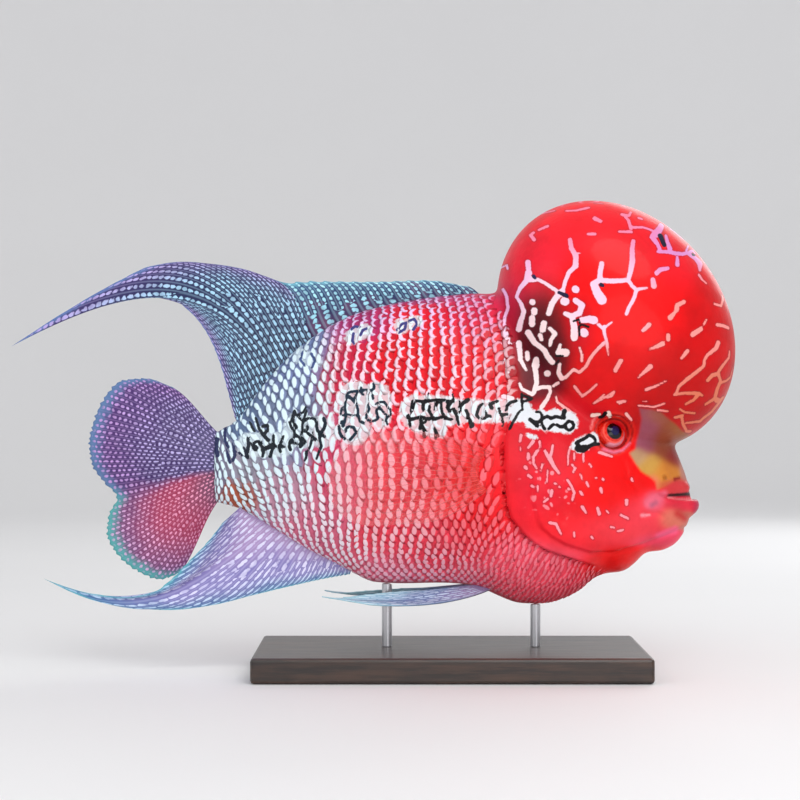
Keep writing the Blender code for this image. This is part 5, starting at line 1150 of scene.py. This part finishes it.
FIN_START = -0.08                        # how far the rays run into the body, as a share of their length
SIDEWAYS = (0.0, 1.0, 0.0)


def ray_fan(root, tip, leave, arrive, leave_reach=STEADY_REACH, arrive_reach=STEADY_REACH):
    """The rays of a fin, as flat points for arrays of share and along."""
    tables = (root, tip, leave, arrive, leave_reach, arrive_reach)
    root, tip, leave, arrive, leave_reach, arrive_reach = map(curve_through, tables)

    def heading(degrees):
        turn = np.radians(degrees)
        return np.stack([np.cos(turn), np.sin(turn)], -1)

    def point(share, along):
        start, end = root(share), tip(share)
        length = np.linalg.norm(end - start, axis=-1)[..., None]
        first = start + length * leave_reach(share)[..., None] * heading(leave(share))
        last = end - length * arrive_reach(share)[..., None] * heading(arrive(share))
        t = along[..., None]
        back = 1 - t
        return back ** 3 * start + 3 * back * back * t * first + 3 * back * t * t * last + t ** 3 * end

    return point


def bent(fan, sideways):
    """A fin's surface: its flat rays, moved sideways."""
    def surface(share, along):
        flat = fan(share, along)
        return np.stack([flat[..., 0], sideways(share, along), flat[..., 1]], -1)

    return surface


def dorsal_drift(share, along):
    return 0.0016 * np.sin(9.0 * share) * np.maximum(along, 0.0) ** 1.5


def anal_drift(share, along):
    return ANAL_DRIFT * share ** 1.2 * np.minimum(1.0, 1.6 * along) - 0.0012 * np.sin(7.0 * share) * along


def caudal_drift(share, along):
    fold = 1 / (1 + np.exp(-18.0 * (share - 0.58)))
    return CAUDAL_DRIFT * (fold - 0.22) * np.minimum(1.0, 1.9 * along) + 0.0012 * np.sin(14.0 * share) * along


def pectoral_drift(side):
    def drift(share, along):
        spread = np.sin(0.5 * np.pi * np.minimum(1.0, 1.15 * along))
        swing = PECTORAL_ROOT_Y + (PECTORAL_TIP_Y - PECTORAL_ROOT_Y) * spread
        return side * (swing + 0.0011 * np.sin(11.0 * share + 1.0) * along * along)

    return drift


def pelvic_drift(side):
    def drift(share, along):
        spread = PELVIC_OUTER_Y + (PELVIC_INNER_Y - PELVIC_OUTER_Y) * share
        return side * (PELVIC_ROOT_Y - 0.003 * share + (spread - PELVIC_ROOT_Y) * np.sin(0.5 * np.pi * along))

    return drift


def ray_ridge(ray, along, spiny):
    """The height of the ridges, from 0 to 1: one for each ray, which forks twice unless it is a spine."""
    def crest(count, width):
        off = np.abs((ray * count + 0.5) % 1.0 - 0.5)
        return np.clip(1 - off / width, 0, 1) ** 0.8

    if spiny:
        return crest(1, 0.20) + 0 * along
    forks = crest(1, 0.22) * (1 - smoothstep(0.36, 0.50, along))
    forks = forks + crest(2, 0.26) * smoothstep(0.32, 0.5, along)
    fine = crest(4, 0.30) * smoothstep(0.60, 0.78, along)
    return np.maximum(forks * (1 - 0.6 * smoothstep(0.6, 0.8, along)), fine)


def fin_piece(name, surface, rays, columns_per_ray, rows, girth, fray, spiny=False, sideways=None,
              span=(0.0, 1.0)):
    """A thin closed fin with ridged rays, plain if it is spiny and else forked, and a frayed edge."""
    columns = int((rays - 1) * (span[1] - span[0]) * columns_per_ray) + 1
    share = np.linspace(span[0], span[1], columns)[:, None]
    ray = share * (rays - 1)
    along = np.linspace(FIN_START, 1.0, rows)[None, :]
    course = surface(share, np.linspace(0, 1, 24)[None, :] + 0 * share)
    lengths = np.linalg.norm(np.diff(course, axis=1), axis=2).sum(1)[:, None]
    notch = np.abs(np.sin(math.pi * ray * (1.0 if spiny else 2.0))) ** 1.5 * fray
    if not spiny:
        notch = notch + 0.35 * fray * (np.sin(ray * 5.1) * np.sin(ray * 12.7 + 1.0) + 1)
    reach = 1 - np.minimum(notch / np.maximum(lengths, 0.004), 0.5)
    along = np.where(along > 0, along * reach, along)
    middle = surface(share + 0 * along, along)
    thick = (MEMBRANE + girth * (1 - RAY_THINNED * np.clip(along, 0, 1)) * ray_ridge(ray, along, spiny)) / 2
    thick = thick * np.where(along > 0.9 * reach, RIM_THINNED, 1.0)
    if sideways is None:
        out = np.cross(np.gradient(middle, axis=0), np.gradient(middle, axis=1))
        out /= np.maximum(np.linalg.norm(out, axis=2), NO_GAP)[..., None]
    else:
        out = np.zeros_like(middle) + np.array(sideways)
    layers = [middle + out * thick[..., None], middle - out * thick[..., None]]
    faces, block = [], columns * rows
    for a, b, c, d in grid_faces(columns, rows):
        faces += [(a, b, c, d), (block + a, block + d, block + c, block + b)]
    rim = grid_rim(columns, rows, rows, 1)
    faces += [(here, block + here, block + there, there) for here, there in zip(rim, rim[1:] + rim[:1])]
    piece = mesh_object(name, np.stack(layers), faces)
    turned_out(piece)
    spread = {"ray": ray + 0 * along, "share": share + 0 * along, "along": along / reach,
              "length": np.clip(along, 0, 1) * lengths * 1000}
    put_values(piece.data, **{name: np.tile(values.ravel(), 2) for name, values in spread.items()})
    return piece


# Colours of the fins: the root, the middle, the tip, the dashes, the tip's dashes and the rim.
NAVY_FIN = ((22, 30, 68), (24, 34, 80), (54, 40, 100), (170, 216, 244), (186, 168, 226), (96, 132, 190))
SPINY_FIN = ((74, 34, 84), (26, 42, 90), (40, 84, 130), (160, 222, 240), (176, 230, 240), (110, 184, 204))
VIOLET_FIN = ((176, 148, 196), (132, 124, 188), (62, 108, 160), (226, 224, 252), (182, 216, 242),
              (96, 186, 196))
PLUM_LOBE = ((70, 62, 112), (62, 40, 100), (74, 42, 108), (190, 178, 230), (196, 152, 216), (86, 132, 176))
RED_LOBE = ((110, 60, 90), (164, 46, 84), (110, 60, 110), (236, 156, 190), (214, 170, 214), (60, 180, 176))
CLEAR_FIN = ((236, 50, 40), (240, 96, 96), (244, 130, 130), (248, 140, 140), (250, 170, 170), (250, 170, 170))
PEARL_FIN = ((150, 120, 170), (96, 116, 168), (140, 190, 216), (206, 226, 246), (214, 240, 250),
             (170, 220, 230))
SPIN = 0.618                             # sets neighbouring rays apart without a pattern


def fin_paint(name, upper, lower=None, dot_step=3.4, dot=(0.42, 0.24), dot_start=3.0, dot_strength=1.0,
              membrane=1.0, stain_colour=None):
    """A fin's finish: rows of pale dashes between the rays. A lower set of colours begins past the fork."""
    paint = Paint(name, 0.36, specular_ior_level=0.35, coat_weight=0.15, coat_roughness=0.15)
    ray, along, length = map(paint.number, ("ray", "along", "length"))
    stain, wobble = paint.noise(60, 3.0, 0.6), paint.noise(380, 2.0) - 0.5
    stained = along + 0.3 * (stain - 0.5)
    far_out = paint.ease(stained, 0.45, 0.95)

    def coloured(colours):
        root, middle, tip, dashes, tip_dashes, rim = [linear(*colour) for colour in colours]
        wash = paint.either(paint.ease(stained, 0.02, 0.42), root, middle)
        return paint.either(far_out, wash, tip), paint.either(far_out, dashes, tip_dashes), rim

    wash, dashes, rim = coloured(upper)
    if lower:
        below = paint.ease(paint.number("share") + 0.06 * (stain - 0.5), 0.53, 0.61)
        parts = zip((wash, dashes, rim), coloured(lower))
        wash, dashes, rim = [paint.either(below, first, second) for first, second in parts]
    if stain_colour:
        wash = paint.either(paint.ease(stain, 0.5, 0.72) * 0.6, wash, linear(*stain_colour))
    fork_at = 0.26 + 0.26 * paint.part(paint.whole(ray) * SPIN)
    column = ray * (1 + paint.maths("GREATER_THAN", along, fork_at))
    row = length / dot_step + paint.part(paint.whole(column) * SPIN) + 1.1 * wobble
    off_row = (paint.part(row) - 0.5) / dot[0]
    off_column = (paint.part(column) - 0.5 + 0.25 * wobble) / dot[1]
    ragged = 0.8 * (paint.noise(700, 1.0) - 0.5)
    dash = paint.ease(off_row * off_row + off_column * off_column + ragged, 1.3, 0.5)
    dash = dash * paint.ease(length, dot_start - 1.5, dot_start + 1.5) * paint.ease(along, 1.0, 0.95)
    dash = dash * (0.65 + 0.35 * paint.ease(paint.noise(150, 1.0), 0.35, 0.6))
    crest = paint.ease(abs(paint.part(column + 0.5) - 0.5), 0.14, 0.05)
    colour = paint.either(crest * 0.18, wash, dashes)
    colour = paint.either(paint.ease(along + 0.10 * wobble, 0.86, 0.985) * 0.75, colour, rim)
    paint.feed("Base Color", paint.either(dash * dot_strength, colour, dashes))
    paint.feed("Roughness", 0.30 + 0.18 * stain)
    if membrane < 1:
        thin = membrane + 0.30 * crest * paint.ease(along, 1.0, 0.3)
        paint.feed("Alpha", thin + (0.9 - thin) * paint.ease(along, 0.22, 0.0))
    paint.bumped(paint.noise(1200, 2.0) + 0.6 * crest, 0.18, 0.0002)
    return paint.material


def build_fins():
    """Every fin with its finish and the solids that it stands for."""
    dorsal, anal = bent(ray_fan(*DORSAL), dorsal_drift), bent(ray_fan(*ANAL), anal_drift)
    caudal, pectoral, pelvic = bent(ray_fan(*CAUDAL), caudal_drift), ray_fan(*PECTORAL), ray_fan(*PELVIC)
    spiny = fin_paint("striped spiny fin", SPINY_FIN, dot_step=2.6, dot_start=1.0, stain_colour=(120, 40, 90))
    navy = fin_paint("navy soft fin", NAVY_FIN, dot_step=3.4, dot=(0.44, 0.25), dot_start=2.0)
    violet = fin_paint("violet anal fin", VIOLET_FIN, dot_step=6.0, dot=(0.47, 0.25))
    plum = fin_paint("plum and red tail fin", PLUM_LOBE, RED_LOBE, dot_step=2.7, dot=(0.33, 0.26))
    clear = fin_paint("clear pectoral fin", CLEAR_FIN, membrane=0.12, dot_strength=0.0)
    pearl = fin_paint("pearl pelvic fin", PEARL_FIN, dot_step=7.0, dot=(0.48, 0.25))
    fins = [
        (fin_piece("dorsal_spines", dorsal, rays=24, columns_per_ray=10, rows=26, girth=0.0011, fray=0.0016,
                   spiny=True, sideways=SIDEWAYS, span=(0.0, DORSAL_BORDER)), spiny, ("dorsal_fin_spiny",)),
        (fin_piece("dorsal_rays", dorsal, rays=50, columns_per_ray=8, rows=70, girth=0.0007, fray=0.0010,
                   sideways=SIDEWAYS, span=(DORSAL_BORDER, 1.0)),
         navy, ("dorsal_fin_soft", "dorsal_streamer")),
        (fin_piece("anal_rays", anal, rays=22, columns_per_ray=8, rows=70, girth=0.0007, fray=0.0010,
                   sideways=SIDEWAYS), violet, ("anal_fin", "anal_streamer")),
        (fin_piece("tail_rays", caudal, rays=26, columns_per_ray=8, rows=56, girth=0.0007, fray=0.0009,
                   sideways=SIDEWAYS), plum, ("caudal_fin",)),
    ]
    for side, word in SIDES:
        fins.append((fin_piece("pectoral_rays_" + word, bent(pectoral, pectoral_drift(side)), rays=14,
                               columns_per_ray=8, rows=40, girth=0.0005, fray=0.0008),
                     clear, ("pectoral_fin_" + word,)))
        fins.append((fin_piece("pelvic_rays_" + word, bent(pelvic, pelvic_drift(side)), rays=7,
                               columns_per_ray=10, rows=44, girth=0.0008, fray=0.0010),
                     pearl, ("pelvic_fin_" + word,)))
    return fins


def build_eye(side, word):
    """A domed eye set in its orbit. Its colours follow the distance from the middle of its face."""
    seat, normal = flank_seat(EYE_PLACE, EYE_PROUD - EYE_DEPTH, side)
    turned = np.array(normal.to_track_quat("Z", "Y").to_matrix())
    lift = np.radians(np.linspace(-88, 88, EYE_RINGS))[:, None]
    turns = full_turn(EYE_SIDES)[None, :]
    away = np.cos(lift)
    local = np.stack([away * np.cos(turns) * EYE_RADIUS, away * np.sin(turns) * EYE_RADIUS,
                      np.sin(lift) * EYE_DEPTH + 0 * turns], -1).reshape(-1, 3)
    from_pupil = np.hypot(local[:, 0], local[:, 1]) * 1000
    local[:, 2] += 0.0004 * np.exp(-(from_pupil / 3.4) ** 4) * (local[:, 2] > 0)
    eye = mesh_object("eye_ball_" + word, local @ turned.T + np.array(seat), tube_faces(EYE_RINGS, EYE_SIDES))
    turned_out(eye)
    world = points_of(eye.data)
    low_front = ((world[:, 0] - EYE_PLACE[0]) * 0.75 - (world[:, 2] - EYE_PLACE[1])) * 1000
    put_values(eye.data, from_pupil=from_pupil, low_front=low_front)
    return eye


def eye_paint():
    """A blue-black pupil, a red iris with streaks, a bright ring, and pink flesh low in front."""
    paint = Paint("wet eye", 0.16, specular_ior_level=0.25, coat_weight=0.25, coat_roughness=0.02)
    away = paint.number("from_pupil")
    wavy = away + 0.35 * (paint.noise(500, 2.0) - 0.5)
    streaks = paint.noise(900, 2.0)
    streaked = paint.ease(streaks, 0.45, 0.7) * paint.ease(away, 3.6, 4.4) * 0.5
    pink = paint.ease(paint.number("low_front"), 2.4, 4.6) * paint.ease(away, 5.4, 6.2)
    colour = linear(24, 20, 74)
    for share, over in ((paint.ease(wavy, 1.9, 2.5), (10, 1, 4)), (paint.ease(wavy, 3.8, 4.3), (226, 26, 14)),
                        (paint.ease(wavy, 4.9, 5.2) * paint.ease(wavy, 5.9, 5.5) * 0.8, (252, 96, 84)),
                        (streaked, (250, 84, 60)), (pink * 0.8, (246, 170, 190))):
        colour = paint.either(share, colour, linear(*over))
    paint.feed("Base Color", colour)
    paint.feed("Roughness", 0.06 + 0.08 * streaks)
    return paint.material


def wood_paint():
    paint = Paint("dark satin wood", 0.4, coat_weight=0.3, coat_roughness=0.25)
    grain = paint.noise(60, 6.0, 0.65, stretch=(0.5, 6.0, 6.0))
    fine = paint.noise(420, 3.0, 0.6, stretch=(0.12, 3.0, 3.0))
    colour = paint.either(paint.ease(grain, 0.3, 0.7), linear(28, 20, 16), linear(66, 44, 32))
    paint.feed("Base Color", paint.either(paint.ease(fine, 0.5, 0.75) * 0.5, colour, linear(16, 11, 9)))
    paint.feed("Roughness", 0.32 + 0.2 * fine)
    paint.bumped(fine + grain, 0.12, 0.0003)
    return paint.material


def steel_paint():
    paint = Paint("brushed steel", 0.3, metallic=1.0)
    lines = paint.noise(900, 2.0, stretch=(1.0, 1.0, 0.06))
    paint.feed("Base Color", paint.either(lines, linear(168, 168, 172), linear(204, 204, 208)))
    paint.feed("Roughness", 0.22 + 0.2 * lines)
    return paint.material


def coat_with(piece, material):
    piece.data.materials.clear()
    piece.data.materials.append(material)


def add_bake_map(piece, along, around):
    """The map OFBake, from numbers for each point of the mesh."""
    layer = piece.data.uv_layers.new(name="OFBake")
    corners = np.empty(len(piece.data.loops), np.int64)
    piece.data.loops.foreach_get("vertex_index", corners)
    layer.data.foreach_set("uv", np.stack([along[corners], around[corners]], 1).ravel())


FLOOR_REACH, FLOOR_CURVE, FLOOR_TOP, FLOOR_SIDES = 1.5, 0.7, 1.6, 96
FLOOR_DROP = -0.0002                 # the floor lies this little under the stand
MIDDLE = (0.0, 0.0, 0.12)            # what the lamps aim at
# Round soft lamps: the name, the place, the width and the power.
LAMPS = (("key", (0.35, -1.0, 1.15), 0.9, 8.5), ("fill", (-1.1, -0.9, 0.5), 1.2, 3),
         ("low fill", (0.3, -1.3, 0.10), 0.8, 3.6), ("back", (0.6, 1.1, 0.7), 0.8, 4))
CAMERA_PLACE, CAMERA_LENS, CAMERA_SENSOR = (-0.0246, -1.0933, 0.1333), 100.0, 36.0


def build_studio():
    """A pale floor that curves up all round, soft lamps, and a camera level with the fish."""
    scene = bpy.context.scene
    profile = [(0.0, FLOOR_DROP), (FLOOR_REACH, FLOOR_DROP)]
    profile += [(FLOOR_REACH + FLOOR_CURVE * math.sin(turn), FLOOR_CURVE - FLOOR_CURVE * math.cos(turn))
                for turn in np.linspace(0.1, math.pi / 2, 14)]
    profile.append((FLOOR_REACH + FLOOR_CURVE, FLOOR_TOP))
    points = [(reach * math.cos(turn), reach * math.sin(turn), z) for reach, z in profile
              for turn in full_turn(FLOOR_SIDES)]
    faces = grid_faces(len(profile), FLOOR_SIDES, columns_close=True)[FLOOR_SIDES:]
    floor = mesh_object("studio_floor", points, faces + [tuple(range(FLOOR_SIDES, 2 * FLOOR_SIDES))])
    paint = Paint("pale floor", 0.7)
    paint.feed("Base Color", paint.either(paint.noise(3.0), (0.80, 0.80, 0.81), (0.84, 0.84, 0.85)))
    coat_with(floor, paint.material)
    for name, place, width, power in LAMPS:
        data = bpy.data.lights.new(name, "AREA")
        data.shape, data.size, data.energy = "DISK", width, power
        lamp = bpy.data.objects.new(name, data)
        lamp.location = place
        lamp.rotation_euler = (Vector(MIDDLE) - Vector(place)).to_track_quat("-Z", "Y").to_euler()
        scene.collection.objects.link(lamp)
    scene.world = bpy.data.worlds.new("studio")
    scene.world.use_nodes = True
    background = scene.world.node_tree.nodes["Background"].inputs
    background["Color"].default_value = (1.0, 1.0, 1.0, 1.0)
    background["Strength"].default_value = 0.70
    scene.view_settings.view_transform = "Standard"
    data = bpy.data.cameras.new("camera")
    data.lens, data.sensor_width = CAMERA_LENS, CAMERA_SENSOR
    camera = bpy.data.objects.new("camera", data)
    camera.location = CAMERA_PLACE
    camera.rotation_euler = (math.pi / 2, 0, 0)
    scene.collection.objects.link(camera)
    scene.camera = camera


def main():
    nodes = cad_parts
    build_studio()
    skin = build_skin()
    paint_flesh(skin.data)
    coat_with(skin, skin_paint())
    x, y, z = points_of(skin.data).T
    add_bake_map(skin, (x + 0.12) / 0.28, (np.arctan2(y, z - BODY_AXIS) / (2 * math.pi)) % 1)
    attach(skin, "root")
    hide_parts("torso", "tail_stem", "head", "lower_jaw", "nuchal_hump", "gill_cover_left",
                "gill_cover_right")
    plates = (scale_plate("plain_scale", 5, 4), scale_plate("marked_scale", 12, 10))
    tree = scale_tree(scale_paint())
    for side, word in SIDES:
        scales = grow_scales(side, word, skin, plates, tree)
        data = scales.data
        x, _, z = points_of(data).T
        put_values(data, pale_gap=strokes_gap(x, z, HUMP_LINES + CHEEK_MARKS))
        put_ink(data, x, z)
        off_root = SCALE_BAKE_PATCH * (values_of(data, "along") - 0.5)
        add_bake_map(scales, values_of(data, "root_along") + off_root,
                     values_of(data, "root_around") + SCALE_BAKE_PATCH * 0.5 * values_of(data, "across"))
        turned_out(scales)
        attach(scales, "root")
        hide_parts("torso", "tail_stem")
    for plate in plates:
        bpy.data.objects.remove(plate)
    for fin, finish, replaced in build_fins():
        coat_with(fin, finish)
        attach(fin, "root")
        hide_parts(*replaced)
    wet = eye_paint()
    for side, word in SIDES:
        eye = build_eye(side, word)
        coat_with(eye, wet)
        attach(eye, "root")
        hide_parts("eye_" + word)
    wood, steel = wood_paint(), steel_paint()
    for name, finish in (("stand_base", wood), ("stand_rod_front", steel), ("stand_rod_rear", steel)):
        for slot in nodes[name].material_slots:
            slot.material = finish
        if not nodes[name].material_slots:
            nodes[name].data.materials.append(finish)


main()
